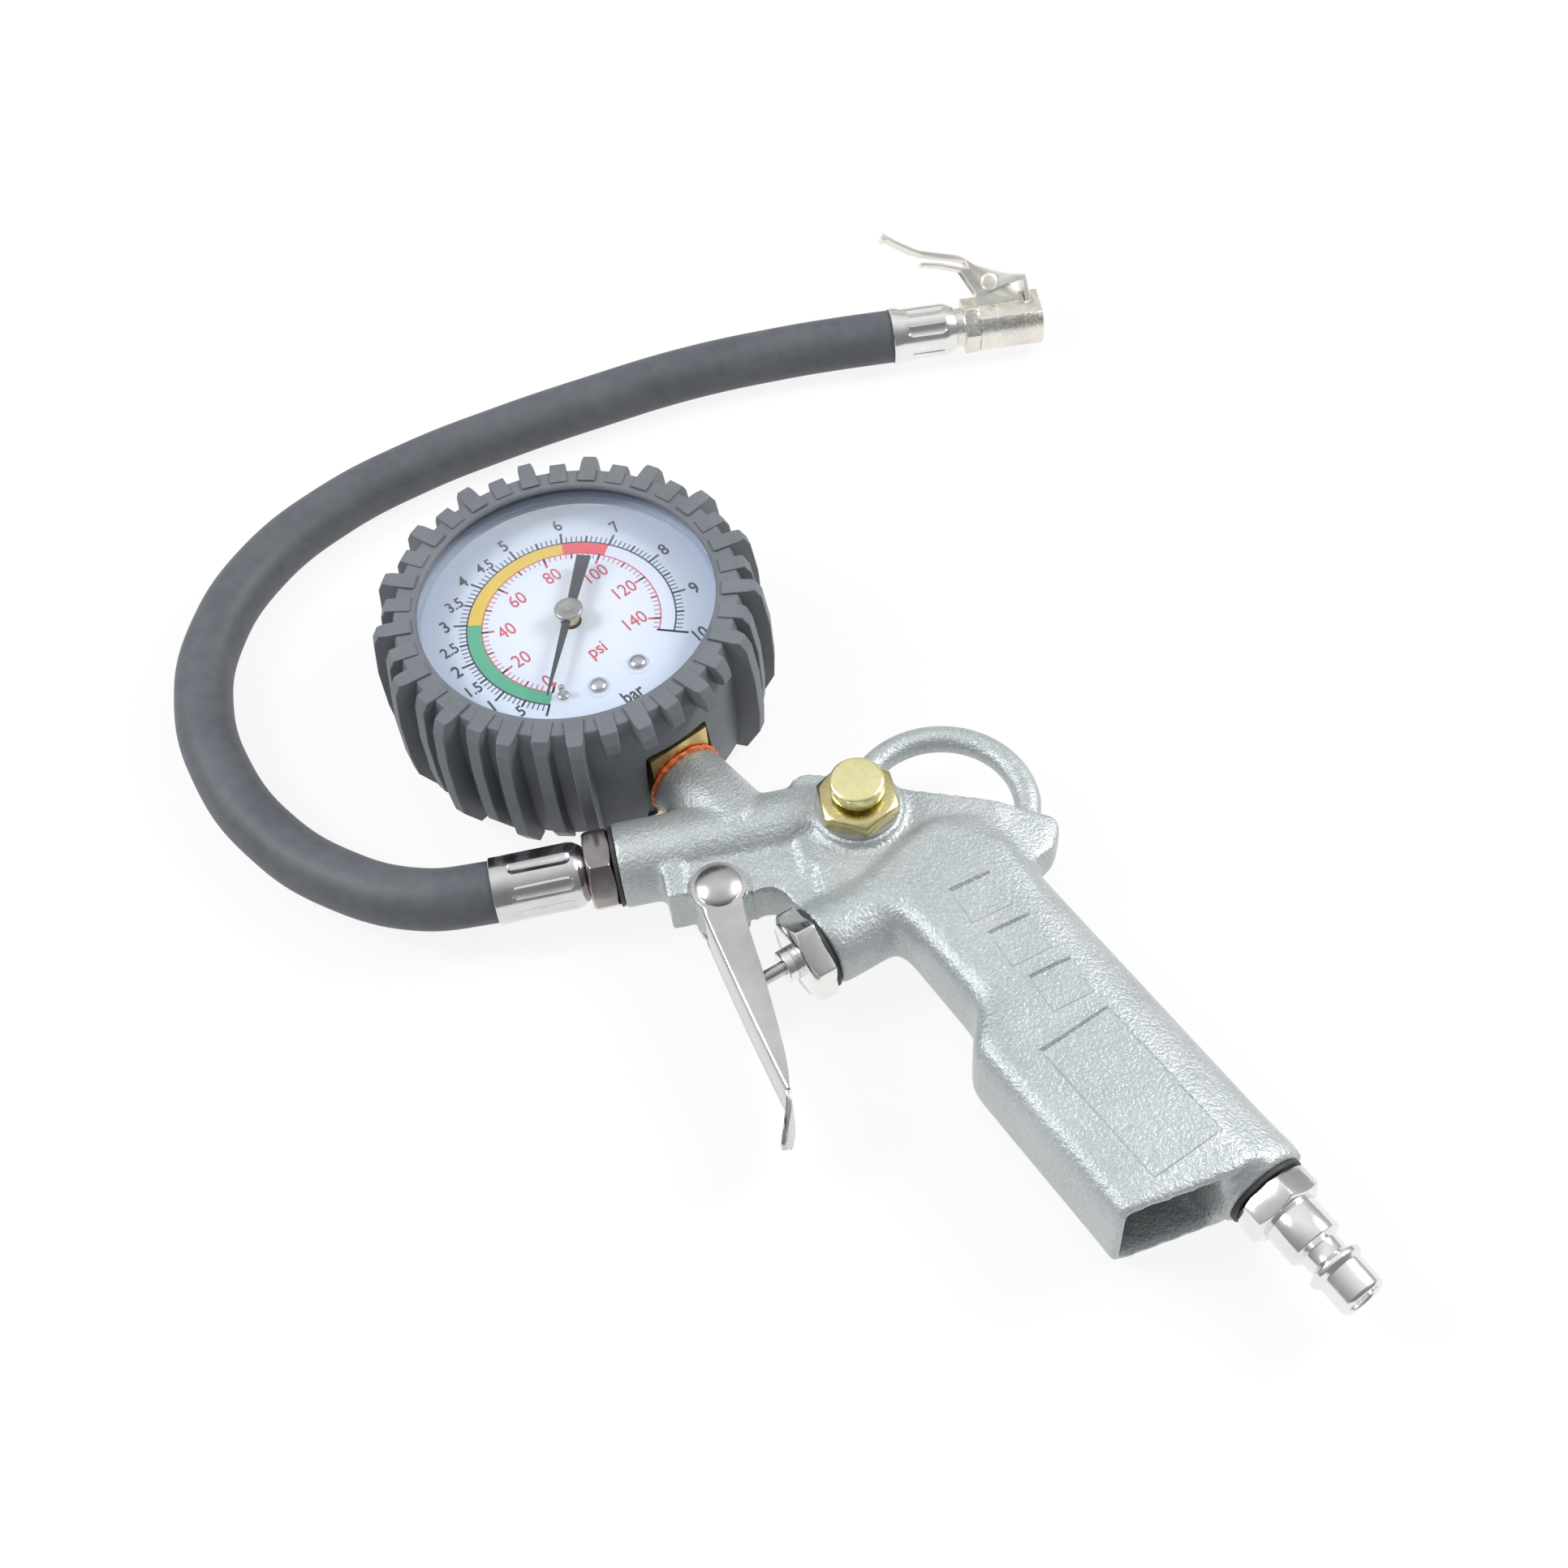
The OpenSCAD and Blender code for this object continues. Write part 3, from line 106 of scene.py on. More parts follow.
class Finish:
    """One surface finish: a Principled shader, and the nodes that vary it."""

    def __init__(self, name, colour, metal=0.0, rough=0.5, **more):
        self.material = bpy.data.materials.new(name)
        self.material.use_nodes = True
        self.tree = self.material.node_tree
        self.shader = self.tree.nodes["Principled BSDF"]
        self.put("Base Color", (*colour, 1.0))
        self.put("Metallic", metal)
        self.put("Roughness", rough)
        for socket, value in more.items():
            self.put(socket.replace("_", " "), value)

    def put(self, socket, value):
        place = self.shader.inputs[socket]
        if isinstance(value, Wire):
            self.tree.links.new(value.socket, place)
        else:
            place.default_value = value

    def node(self, kind, inputs=None, out=0, **settings):
        """Adds a node of any kind, sets it, and returns one of its outputs."""
        made = self.tree.nodes.new("ShaderNode" + kind)
        for key, value in settings.items():
            setattr(made, key, value)
        for key, value in (inputs or {}).items():
            if isinstance(value, Wire):
                self.tree.links.new(value.socket, made.inputs[key])
            else:
                made.inputs[key].default_value = value
        return Wire(self.tree, made.outputs[out])

    def place(self):
        return self.node("TexCoord", out="Object")

    def noise(self, scale, detail=2.0, rough=0.5):
        """Noise with features about 1 / scale metres across."""
        return self.node("TexNoise", {"Vector": self.place(), "Scale": scale,
                                      "Detail": detail, "Roughness": rough})

    def tint(self, mask, low, high):
        """Colours the finish between low and high by a mask."""
        self.put("Base Color", self.node(
            "Mix", {0: mask, 6: (*low, 1.0), 7: (*high, 1.0)}, out=2, data_type="RGBA",
            clamp_factor=True))

    def bump(self, height, depth, strength=1.0):
        """Raises the surface by a depth in metres where the height is 1."""
        self.put("Normal", self.node("Bump", {"Height": height, "Distance": depth,
                                              "Strength": strength}))

    def mix(self, share, first=None, second=None):
        """Mixes another shader with the finish's own, which stands where none is given."""
        own = Wire(self.tree, self.shader.outputs[0])
        mixed = self.node("MixShader", {0: share, 1: first or own, 2: second or own})
        surface = self.tree.nodes["Material Output"].inputs["Surface"]
        self.tree.links.new(mixed.socket, surface)

    def on(self, *names):
        """Puts the finish on new pieces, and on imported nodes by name."""
        for name in names:
            piece = nodes[name] if isinstance(name, str) else name
            piece.data.materials.clear()
            piece.data.materials.append(self.material)


hose_d = 14 * MM
hose_slack = 0.00002
hose_route = [
    (-25.4, 0, 13), (-29, 0, 13), (-44, 2.5, 12), (-62, 14, 9.5), (-77, 31, 7.5),
    (-87, 51, 7), (-91, 74, 7), (-87, 95, 7), (-74, 115.5, 7), (-55, 130, 7),
    (-33, 139.5, 7), (-9, 146, 7), (16, 151, 7), (42, 155, 7), (68, 156, 7),
    (84, 155.2, 7.3), (97, 154, 7.6), (100.4, 153.75, 7.6)]
frame_origin = Vector((40.9459, -14.7189, 0))


def at(x, y, z=0.0):
    """A place counted in millimetres from the barrel's mouth, in the model's frame."""
    return (Vector((x, y, z)) - frame_origin) * MM


hose_line = bpy.data.curves.new("hose", "CURVE")
hose_line.dimensions = "3D"
hose_line.bevel_depth = hose_d / 2 - hose_slack
hose_line.bevel_resolution = 10
hose_line.resolution_u = 16
hose_line.use_fill_caps = True
spline = hose_line.splines.new("BEZIER")
spline.bezier_points.add(len(hose_route) - 1)
for knot, place in zip(spline.bezier_points, hose_route):
    knot.co = at(*place)
    knot.handle_left_type = knot.handle_right_type = "AUTO"
hose = bpy.data.objects.new("rubber_hose", hose_line)
bpy.context.scene.collection.objects.link(hose)

hose_rubber = Finish("hose_rubber", (0.085, 0.09, 0.102), rough=0.38,
                     Specular_IOR_Level=0.45)
dust = hose_rubber.noise(260, 4, 0.6)
smear = hose_rubber.noise(45, 3, 0.55)
hose_rubber.tint((dust * 0.5 + smear * 0.5).band(0.35, 0.7), (0.078, 0.084, 0.097),
                 (0.118, 0.124, 0.138))
hose_rubber.put("Roughness", 0.44 + 0.14 * smear + 0.05 * dust)
hose_rubber.bump(hose_rubber.noise(1400, 2, 0.5), 0.00004)
hose_rubber.on(hose)

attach(hose, "inflator")
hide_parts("hose")

# ---------------------------------------------------------------- studio
# Plain pale table in a white surround that is dimmer towards the camera, with one soft
# lamp on each side of the part.
scene = bpy.context.scene
scene.view_settings.view_transform = "Standard"
world = bpy.data.worlds.new("studio")
scene.world = world
world.use_nodes = True
sky_tree = world.node_tree
sky_tree.nodes.clear()


def world_node(kind, **settings):
    made = sky_tree.nodes.new("ShaderNode" + kind)
    for key, value in settings.items():
        setattr(made, key, value)
    return made


sky_out = world_node("OutputWorld")
sky_seen = world_node("Background")
sky_seen.inputs["Color"].default_value = (1, 1, 1, 1)
sky_seen.inputs["Strength"].default_value = 1.0
sky_lights = world_node("Background")
sky_lights.inputs["Strength"].default_value = 1.0
sky_way = world_node("TexCoord")
sky_height = world_node("SeparateXYZ")
sky_tree.links.new(sky_way.outputs["Generated"], sky_height.inputs[0])
sky_tone = world_node("ValToRGB")
ramp = sky_tone.color_ramp.elements
for stop, tone in ((0.05, (0.36, 0.37, 0.39, 1)), (0.60, (0.68, 0.69, 0.71, 1)),
                   (0.97, (0.98, 0.99, 1.0, 1))):
    ramp.new(stop).color = tone
ramp.remove(ramp[0])
ramp.remove(ramp[-1])
sky_tree.links.new(sky_height.outputs["Z"], sky_tone.inputs[0])
sky_front = world_node("Mix")
sky_front.data_type = "RGBA"
sky_front.inputs[6].default_value = (0.24, 0.25, 0.26, 1)
behind = Wire(sky_tree, sky_height.outputs["Y"]).band(-0.75, 0.2)
sky_tree.links.new(behind.socket, sky_front.inputs[0])
sky_tree.links.new(sky_tone.outputs[0], sky_front.inputs[7])
sky_tree.links.new(sky_front.outputs[2], sky_lights.inputs["Color"])
sky_mix = world_node("MixShader")
path = world_node("LightPath")
sky_tree.links.new(path.outputs["Is Camera Ray"], sky_mix.inputs[0])
sky_tree.links.new(sky_lights.outputs[0], sky_mix.inputs[1])
sky_tree.links.new(sky_seen.outputs[0], sky_mix.inputs[2])
sky_tree.links.new(sky_mix.outputs[0], sky_out.inputs["Surface"])

table_wide, table_drop, table_white = 6, 0.0002, 0.88
bpy.ops.mesh.primitive_plane_add(size=table_wide, location=(0, 0, -table_drop))
floor = bpy.context.object
floor.name = "floor"
paper = Finish("table_paper", (0.84, 0.84, 0.84), rough=0.9, Specular_IOR_Level=0.1)
seen = paper.node("LightPath", out="Is Camera Ray")
mirrored = paper.node("LightPath", out="Is Glossy Ray")
through = paper.node("LightPath", out="Is Transmission Ray")
glow = paper.node("Emission", {"Color": (1, 1, 1, 1), "Strength": 1.0})
white = seen.math("MAXIMUM", seen * table_white,
                  through.math("MAXIMUM", through, mirrored))
paper.mix(white, second=glow)
paper.on(floor)


lamp_across = 0.45
for name, place, watts, colour in (
        ("right_light", (0.85, 0.12, 0.75), 8.5, (1.0, 0.99, 0.97)),
        ("left_light", (-0.75, 0.2, 0.75), 6.0, (0.97, 0.985, 1.0))):
    data = bpy.data.lights.new(name, "AREA")
    data.shape = "DISK"
    data.size = lamp_across
    data.energy = watts
    data.color = colour
    lamp = bpy.data.objects.new(name, data)
    lamp.location = place
    lamp.rotation_euler = (-Vector(place)).to_track_quat("-Z", "Y").to_euler()
    scene.collection.objects.link(lamp)

# ---------------------------------------------------------------- pistol casting
# One die casting: barrel, gauge boss, web, valve tube, grip and hanging loop, with soft
# corners, a stop for the trigger and four shallow sunk panels on each side of the grip.
# It is sprayed with a fine silver paint.
def only(*pieces):
    """Selects just these pieces, the first one active."""
    if bpy.context.object and bpy.context.object.mode != "OBJECT":
        bpy.ops.object.mode_set(mode="OBJECT")
    bpy.ops.object.select_all(action="DESELECT")
    for piece in pieces:
        piece.select_set(True)
    if pieces:
        bpy.context.view_layer.objects.active = pieces[0]


def open_mesh(piece):
    """Opens a piece for editing with all of it selected."""
    only(piece)
    bpy.ops.object.mode_set(mode="EDIT")
    bpy.ops.mesh.select_mode(type="VERT")
    bpy.ops.mesh.select_all(action="SELECT")


def weld(piece, within=0.001):
    """Merges the points that meet and turns the faces outwards."""
    open_mesh(piece)
    bpy.ops.mesh.remove_doubles(threshold=within)
    bpy.ops.mesh.normals_make_consistent(inside=False)
    bpy.ops.object.mode_set(mode="OBJECT")
    return piece


def change(piece, kind, **settings):
    """Puts one modifier on a piece and applies it."""
    only(piece)
    modifier = piece.modifiers.new(kind.lower(), kind)
    for key, value in settings.items():
        setattr(modifier, key, value)
    bpy.ops.object.modifier_apply(modifier=modifier.name)
    return piece


def ease(piece, width, over=30.0, rounds=2):
    """Rounds every edge sharper than a number of degrees, then smooths the shading."""
    change(piece, "BEVEL", width=width, segments=rounds, limit_method="ANGLE",
           angle_limit=math.radians(over), loop_slide=False)
    only(piece)
    bpy.ops.object.shade_smooth_by_angle(angle=math.radians(38))
    return piece


def resized(piece, chosen, value, about=(0, 0, 0)):
    """Scales about a point the part of a piece that a test of each point picks out."""
    open_mesh(piece)
    bpy.ops.mesh.select_all(action="DESELECT")
    bpy.ops.object.mode_set(mode="OBJECT")
    for point in piece.data.vertices:
        point.select = chosen(point.co)
    bpy.ops.object.mode_set(mode="EDIT")
    bpy.ops.transform.resize(value=value, center_override=about)
    bpy.ops.object.mode_set(mode="OBJECT")
    return piece


def copy_of(node, name):
    """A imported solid's shape as a new piece, its loose triangles joined up."""
    piece = bpy.data.objects.new(name, nodes[node].data.copy())
    bpy.context.scene.collection.objects.link(piece)
    piece.data.materials.clear()
    only(piece)
    if piece.data.has_custom_normals:
        bpy.ops.mesh.customdata_custom_splitnormals_clear()
    return weld(piece, within=0.000002)


def belongs(piece, body, slot, *replaced):
    """Fixes a piece to its body and hides the imported solids it stands for. The slot, for
    the finish, is not used.
    """
    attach(piece, body)
    if replaced:
        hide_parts(*replaced)


def seat(piece, place, *turns):
    """Carries a piece made in millimetres at the middle of the bench to its place."""
    matrix = Matrix.Translation(place)
    for degrees, axis in turns:
        matrix @= Matrix.Rotation(math.radians(degrees), 4, axis)
    piece.matrix_world = matrix @ Matrix.Scale(MM, 4)
    only(piece)
    bpy.ops.object.transform_apply(location=True, rotation=True, scale=True)
    return piece


def joined(name, *pieces):
    only(*pieces)
    if len(pieces) > 1:
        bpy.ops.object.join()
    pieces[0].name = name
    return pieces[0]


middle = 13
grip_lean = 23
bleed_boss_web = (39, 45, -15.4, -4, 6.9)
trigger_stop = (9.2, 13.9, -15.0, -4, 7.0)
casting = copy_of("cast_body", "pistol_casting")
blocks = [casting]
for left, right, low, high, half in (bleed_boss_web, trigger_stop):
    only()
    bpy.ops.mesh.primitive_cube_add(
        size=1, scale=((right - left) * MM, (high - low) * MM, 2 * half * MM),
        location=at((left + right) / 2, (low + high) / 2, middle))
    blocks.append(bpy.context.object)
    bpy.ops.object.transform_apply(location=True, scale=True)
casting = joined("pistol_casting", *blocks)
sand = 0.0007
change(casting, "REMESH", mode="VOXEL", voxel_size=sand, use_smooth_shade=True)
spine_from, spine_slope, spur_depth, thinning = 67.7, -11.3 / 27.6, 0.024, 0.92
for reach in range(84, 95, 2):
    edge = at(reach, -0.5)
    resized(casting, lambda spot: (
        spot.x > edge.x and -spur_depth < spot.y - edge.y
        < spine_slope * (spot.x - at(spine_from, 0).x)), (1, 1, thinning),
        (0, 0, middle * MM))
change(casting, "SMOOTH", factor=0.5, iterations=7)
down_grip = Vector((math.sin(math.radians(grip_lean)), -math.cos(math.radians(grip_lean))))
grip_from, grip_foot, mouth_share = 42, 131, 0.25
soft_edges = casting.vertex_groups.new(name="soft_edges")
for point in casting.data.vertices:
    along = down_grip.dot(point.co.xy - at(0, 0).xy) / MM
    if along > grip_from:
        weight = min(1, (along - grip_from) / 8,
                     mouth_share + max(0, (grip_foot - along) / 4))
        soft_edges.add([point.index], weight, "ADD")
change(casting, "SMOOTH", factor=0.5, iterations=70, vertex_group="soft_edges")

grip_half, flare_from, grip_flare = 10, 50, 2.6 / 81.7
flare_angle = math.degrees(math.atan(grip_flare))
recess, draw = 0.36, 1.5


def panel_cutter(wide, tall):
    """A shallow sunk panel's shape, its walls sloping, about the middle of its mouth."""
    only()
    bpy.ops.mesh.primitive_cube_add(
        size=1, scale=(wide + 2 * draw, tall + 2 * draw, recess + draw),
        location=(0, 0, (draw - recess) / 2))
    cutter = bpy.context.object
    bpy.ops.object.transform_apply(location=True, scale=True)
    return resized(cutter, lambda spot: spot.z < 0,
                   ((wide - 2 * recess) / (wide + 2 * draw),
                    (tall - 2 * recess) / (tall + 2 * draw), 1))


small_panels = [(along, 55.2, 9.9, 9.5, -8) for along in (59.0, 72.3, 85.6)]
large_panel = (112.2, 50.8, 17.3, 34.3, 0)
lie_of_grip = Matrix.Rotation(math.radians(grip_lean), 4, "Z")
for side in (1, -1):
    panels = []
    for along, across, wide, tall, turn in (*small_panels, large_panel):
        cutter = panel_cutter(wide, tall)
        face = grip_half + grip_flare * max(0, along - flare_from)
        spot = lie_of_grip @ Vector((across, -along, side * face))
        turns = [(grip_lean, "Z"), (-side * flare_angle, "X"), (turn, "Z")]
        if side < 0:
            turns.append((180, "Y"))
        panels.append(seat(cutter, at(spot.x, spot.y, middle + spot.z), *turns))
    panels = joined("panels", *panels)
    change(casting, "BOOLEAN", object=panels, operation="DIFFERENCE", solver="EXACT")
    bpy.data.objects.remove(panels)
only(casting)
bpy.ops.object.shade_smooth_by_angle(angle=math.radians(30))

cast_paint = Finish("cast_paint", (0.56, 0.59, 0.60), metal=0.6, rough=0.40,
                    Specular_IOR_Level=0.45)
flow = cast_paint.noise(55, 3, 0.55)
orange_peel = cast_paint.noise(1350, 3, 0.6)
flakes = cast_paint.node("TexVoronoi", {"Vector": cast_paint.place(), "Scale": 2800.0,
                                        "Randomness": 1.0}, out="Color")
flake = cast_paint.node("SeparateColor", {"Color": flakes}, out=0)
sparkle = flake > 0.9
cast_paint.tint(flow.band(0.3, 0.7) * 0.4 + orange_peel.band(0.35, 0.7) * 0.4
                + sparkle * 0.7, (0.41, 0.445, 0.45), (0.58, 0.61, 0.615))
cast_paint.put("Roughness", 0.40 + 0.08 * (flow - 0.5))
cast_paint.bump(orange_peel + 0.5 * cast_paint.noise(480, 2, 0.5), 0.00027)
cast_paint.on(casting)
belongs(casting, "inflator", "cast_body", "cast_body")


# ---------------------------------------------------------------- hose outlet
# A plated steel nipple screws into the barrel on a black washer. The hose is pushed over
# it, and a thin plated ferrule is crimped over both with eight pressed flats.
def turned(name, outline, steps=96, arc=360.0):
    """A lathe piece: an outline of (radius, height) points spun about Z, in millimetres."""
    only()
    bpy.ops.mesh.primitive_plane_add(size=1)
    piece = bpy.context.object
    piece.name = name
    open_mesh(piece)
    bpy.ops.mesh.merge(type="CENTER")
    bpy.ops.transform.translate(value=(outline[0][0], 0, outline[0][1]))
    for (r0, h0), (r1, h1) in zip(outline, outline[1:]):
        bpy.ops.mesh.extrude_vertices_move(
            TRANSFORM_OT_translate={"value": (r1 - r0, 0, h1 - h0)})
    bpy.ops.mesh.select_all(action="SELECT")
    bpy.ops.mesh.spin(steps=steps, angle=math.radians(arc), center=(0, 0, 0),
                      axis=(0, 0, 1))
    bpy.ops.mesh.select_all(action="SELECT")
    bpy.ops.mesh.remove_doubles(threshold=0.0005)
    if arc < 360:
        bpy.ops.mesh.fill_holes(sides=0)
    return weld(piece, within=0.0005)


def ring(name, *outline, steps=96, arc=360.0):
    """A lathe piece with a bore: the outline closes on itself."""
    return turned(name, (*outline, outline[0]), steps, arc)


def hexagon(name, flats, length, bore=0.0, both=False):
    """A hexagon bar from height 0 to length, its corners turned off at 30 degrees."""
    corner = flats / math.sqrt(3)
    only()
    bpy.ops.mesh.primitive_cylinder_add(vertices=6, radius=corner, depth=length + 2,
                                        location=(0, 0, length / 2))
    bar = bpy.context.object
    bar.name = name
    bpy.ops.object.transform_apply(location=True)
    wide, face = corner + 0.5, 0.48 * flats
    drop = (wide - face) * math.tan(math.radians(30))
    low = [(face, 0), (wide, drop)] if both else [(wide, 0)]
    lathe = turned("lathe", [(bore, 0), *low, (wide, length - drop), (face, length),
                             (bore, length)] + ([(bore, 0)] if bore else []))
    change(bar, "BOOLEAN", object=lathe, operation="INTERSECT", solver="EXACT")
    bpy.data.objects.remove(lathe)
    return ease(weld(bar), 0.14, over=34)


def plated(name, colour, dark, rough, grain=900.0):
    """Bright plating with faint clouds, handling marks and a fine uneven skin."""
    finish = Finish(name, colour, metal=1.0, rough=rough)
    cloud = finish.noise(120, 3, 0.6)
    skin = finish.noise(grain, 2, 0.5)
    finish.tint(cloud.band(0.3, 0.75), dark, colour)
    finish.put("Roughness", rough + 0.14 * cloud.band(0.4, 0.8) + 0.05 * (skin - 0.5))
    finish.bump(skin, 0.000012, 0.6)
    return finish


chrome = plated("nickel_chrome", (0.90, 0.90, 0.88), (0.78, 0.78, 0.76), 0.12)
# A greyer copy of the same plating for the ferrule at the pistol: painted shade, making that
# ferrule darker than its twin at the chuck.
chrome_painted_shade = plated("chrome_painted_shade", (0.78, 0.78, 0.775), (0.62, 0.62, 0.615), 0.12)
# A darker, brownish copy of the plating for the nipple: painted dark reflection, standing in
# for the dark surroundings that its hex facets mirror.
nickel_dark_reflection = plated("nickel_dark_reflection", (0.42, 0.38, 0.375), (0.30, 0.265, 0.26), 0.13)

nipple = joined(
    "hose_nipple_hex", hexagon("nipple_hex", 17, 6, bore=2.2, both=True),
    ease(ring("nipple_tail", (2.2, 6), (2.2, 14), (3.7, 14), (4, 13.6), (4, 6)), 0.1),
    ring("nipple_thread", (2.2, -12.8), (2.2, 0), (6.5, 0), (6.5, -12), (5.8, -12.8)))
seat(nipple, at(-0.8, 0, middle), (-90, "Y"))
nickel_dark_reflection.on(nipple)
belongs(nipple, "inflator", "chrome", "hose_nipple")


def ferrule(name, length, body):
    """Ferrule from its rim, at height 0, to the rounded shoulder that grips the nipple."""
    tube = ring(name, (7.12, 0.1), (7.4, 0), (7.6, 0.2), (7.6, 1.5), (body + 0.05, 3.2),
                (body, 4.2), (body, length - 3.4), (body - 0.25, length - 2.2),
                (body - 0.9, length - 1.1), (5.9, length - 0.25), (5.2, length),
                (4.1, length), (4.1, 2.45), (7.12, 2.45))
    ease(tube, 0.15, over=50)
    press_r, press_depth, presses = 3.4, 0.55, 8
    only()
    bpy.ops.mesh.primitive_uv_sphere_add(segments=32, ring_count=16, radius=press_r)
    press = bpy.context.object
    open_mesh(press)
    bpy.ops.mesh.bisect(plane_co=(0, 0, 0), plane_no=(0, 0, 1))
    bpy.ops.object.mode_set(mode="OBJECT")
    for point in press.data.vertices:
        point.select = point.co.z > 0.01
    bpy.ops.object.mode_set(mode="EDIT")
    bpy.ops.transform.translate(value=(0, 0, length - 10.4))
    bpy.ops.mesh.select_all(action="SELECT")
    bpy.ops.transform.translate(value=(body - press_depth + press_r, 0, 5.8))
    bpy.ops.mesh.spin(steps=presses, angle=math.radians(360), center=(0, 0, 0),
                      axis=(0, 0, 1), dupli=True)
    bpy.ops.mesh.select_all(action="SELECT")
    bpy.ops.mesh.remove_doubles(threshold=0.001)
    bpy.ops.object.mode_set(mode="OBJECT")
    change(tube, "BOOLEAN", object=press, operation="DIFFERENCE", solver="EXACT")
    bpy.data.objects.remove(press)
    only(tube)
    bpy.ops.object.shade_smooth_by_angle(angle=math.radians(32))
    return tube


gun_ferrule = seat(ferrule("pistol_ferrule", 21, 7.5), at(-27.8, 0, middle), (90, "Y"))
chuck_place, chuck_yaw, chuck_roll = at(98, 153.9, 7.6), -3.7, 44
chuck_turns = ((chuck_yaw, "Z"), (chuck_roll, "X"))
end_ferrule = seat(ferrule("chuck_end_ferrule", 17.5, 7.0), chuck_place, *chuck_turns,
                   (90, "Y"))
chrome_painted_shade.on(gun_ferrule)
chrome.on(end_ferrule)
belongs(gun_ferrule, "inflator", "chrome", "ferrule_gun")
belongs(end_ferrule, "inflator", "chrome", "ferrule_chuck")


def dull(name, light, dark, metal, rough, scale, grain, depth, **more):
    """Matt stuff such as rubber, paint or cast brass: mottled, with a fine grain."""
    finish = Finish(name, light, metal=metal, rough=rough, **more)
    patch = finish.noise(scale, 3, 0.6)
    skin = finish.noise(grain, 2, 0.55)
    finish.tint(patch.band(0.3, 0.7) * 0.7 + skin.band(0.3, 0.7) * 0.3, dark, light)
    finish.put("Roughness", rough + 0.12 * (patch - 0.5) + 0.08 * (skin - 0.5))
    finish.bump(skin, depth, 0.8)
    return finish


black_seal = dull("black_seal", (0.05, 0.05, 0.052), (0.022, 0.022, 0.024), 0.0, 0.55,
                  180, 1500, 0.00004)
black_seal.on("nipple_seal")

# ---------------------------------------------------------------- gauge movement
# Brass socket with a bead of orange thread sealant, a curved pressure tube, and two
# plates that carry the toothed sector and the pointer's shaft, in a black steel case.
gauge_mid = (0.2550, 56.65)
stem_dir = 296.5
brass = dull("gold_brass", (0.80, 0.62, 0.28), (0.60, 0.44, 0.18), 1.0, 0.30, 150, 1100,
             0.00002)
brass.on("gauge_socket", "sector_gear", "movement_frame", "bourdon_tube")
steel = plated("bare_steel", (0.66, 0.66, 0.65), (0.50, 0.50, 0.49), 0.26)
steel.on("link_rod")
case_paint = dull("case_paint", (0.055, 0.058, 0.064), (0.035, 0.037, 0.042), 0.0, 0.38,
                  90, 1300, 0.00002)
case_paint.on("gauge_case", "bezel_ring")

sealant = ring("thread_sealant", (4.95, 21.6), (4.95, 22.8), (8.6, 22.8), (9.6, 22.6),
               (9.7, 22.1), (9.3, 21.7), (8.6, 21.5), steps=48)
change(sealant, "SUBSURF", levels=2, render_levels=2)
lumps = bpy.data.textures.new("sealant_lumps", "CLOUDS")
lumps.noise_scale = 1.6
change(sealant, "DISPLACE", texture=lumps, strength=0.9, mid_level=0.6)
only(sealant)
bpy.ops.object.shade_smooth()
seat(sealant, at(28.5, 0, middle), (stem_dir - 180, "Z"), (90, "Y"))
sealant_paste = dull("sealant_paste", (0.78, 0.20, 0.05), (0.55, 0.11, 0.03), 0.0, 0.35,
                     400, 1500, 0.00005)
sealant_paste.on(sealant)
belongs(sealant, "inflator", "seal")

# ---------------------------------------------------------------- dial
# Pressed white aluminium plate, printed with a bar scale outside and a psi scale inside,
# and held by two domed screws. Green, amber and red bands run between the two scales.
dial_z, zero_at = 31.2, 250.3
per_bar = 27.16
per_psi = per_bar / 14.504
bar_r, psi_r = 24.0, 20.8
read_along = 24.8
ink = 0.03
cap_height, narrow = 0.72, 0.77


def dial_spot(radius, angle, lift=0.0):
    """A place on the dial, by its radius and its angle round the middle."""
    away = math.radians(angle)
    return at(gauge_mid[0] + radius * math.cos(away),
              gauge_mid[1] + radius * math.sin(away), dial_z + lift)


def on_dial(piece, turn, lift):
    return seat(piece, at(*gauge_mid, dial_z + lift), (turn, "Z"))


def printed_arc(name, inner, outer, first, last, lift):
    """A flat printed ring sector from one reading to another, in bar."""
    arc = ring(name, (inner, 0), (outer, 0), (outer, ink), (inner, ink), steps=90,
               arc=per_bar * (last - first))
    return on_dial(arc, zero_at - per_bar * first, lift)


def marks(name, inner, outer, wide, count, step, first=0.0):
    """Radial marks, one modelled and the rest copied round the dial."""
    only()
    bpy.ops.mesh.primitive_cube_add(
        size=1, scale=(outer - inner, wide, ink),
        location=((inner + outer) / 2, 0, ink / 2))
    mark = bpy.context.object
    mark.name = name
    bpy.ops.object.transform_apply(location=True, scale=True)
    open_mesh(mark)
    bpy.ops.mesh.spin(steps=count - 1, angle=math.radians(step * (count - 1)),
                      center=(0, 0, 0), axis=(0, 0, 1), dupli=True)
    bpy.ops.object.mode_set(mode="OBJECT")
    return on_dial(mark, zero_at - first, 0.05)


def figure(words, height, radius, angle, weight=0.0):
    """Printed figures centred at a place on the dial, in a narrow plain face."""
    only()
    bpy.ops.object.text_add()
    text = bpy.context.object
    text.data.body = words
    text.data.size = height / cap_height
    text.data.align_x, text.data.align_y = "CENTER", "CENTER"
    text.data.extrude = ink / 2
    text.data.offset = weight
    text.data.resolution_u = 3
    only(text)
    bpy.ops.object.convert(target="MESH")
    text = bpy.context.object
    middle_y = sum(corner[1] for corner in text.bound_box) / 8
    text.matrix_world = Matrix.Diagonal((narrow, 1, 1, 1)) @ Matrix.Translation(
        (0, -middle_y, 0))
    only(text)
    bpy.ops.object.transform_apply(location=True, rotation=True, scale=True)
    return seat(weld(text), dial_spot(radius, angle, 0.06), (read_along, "Z"))


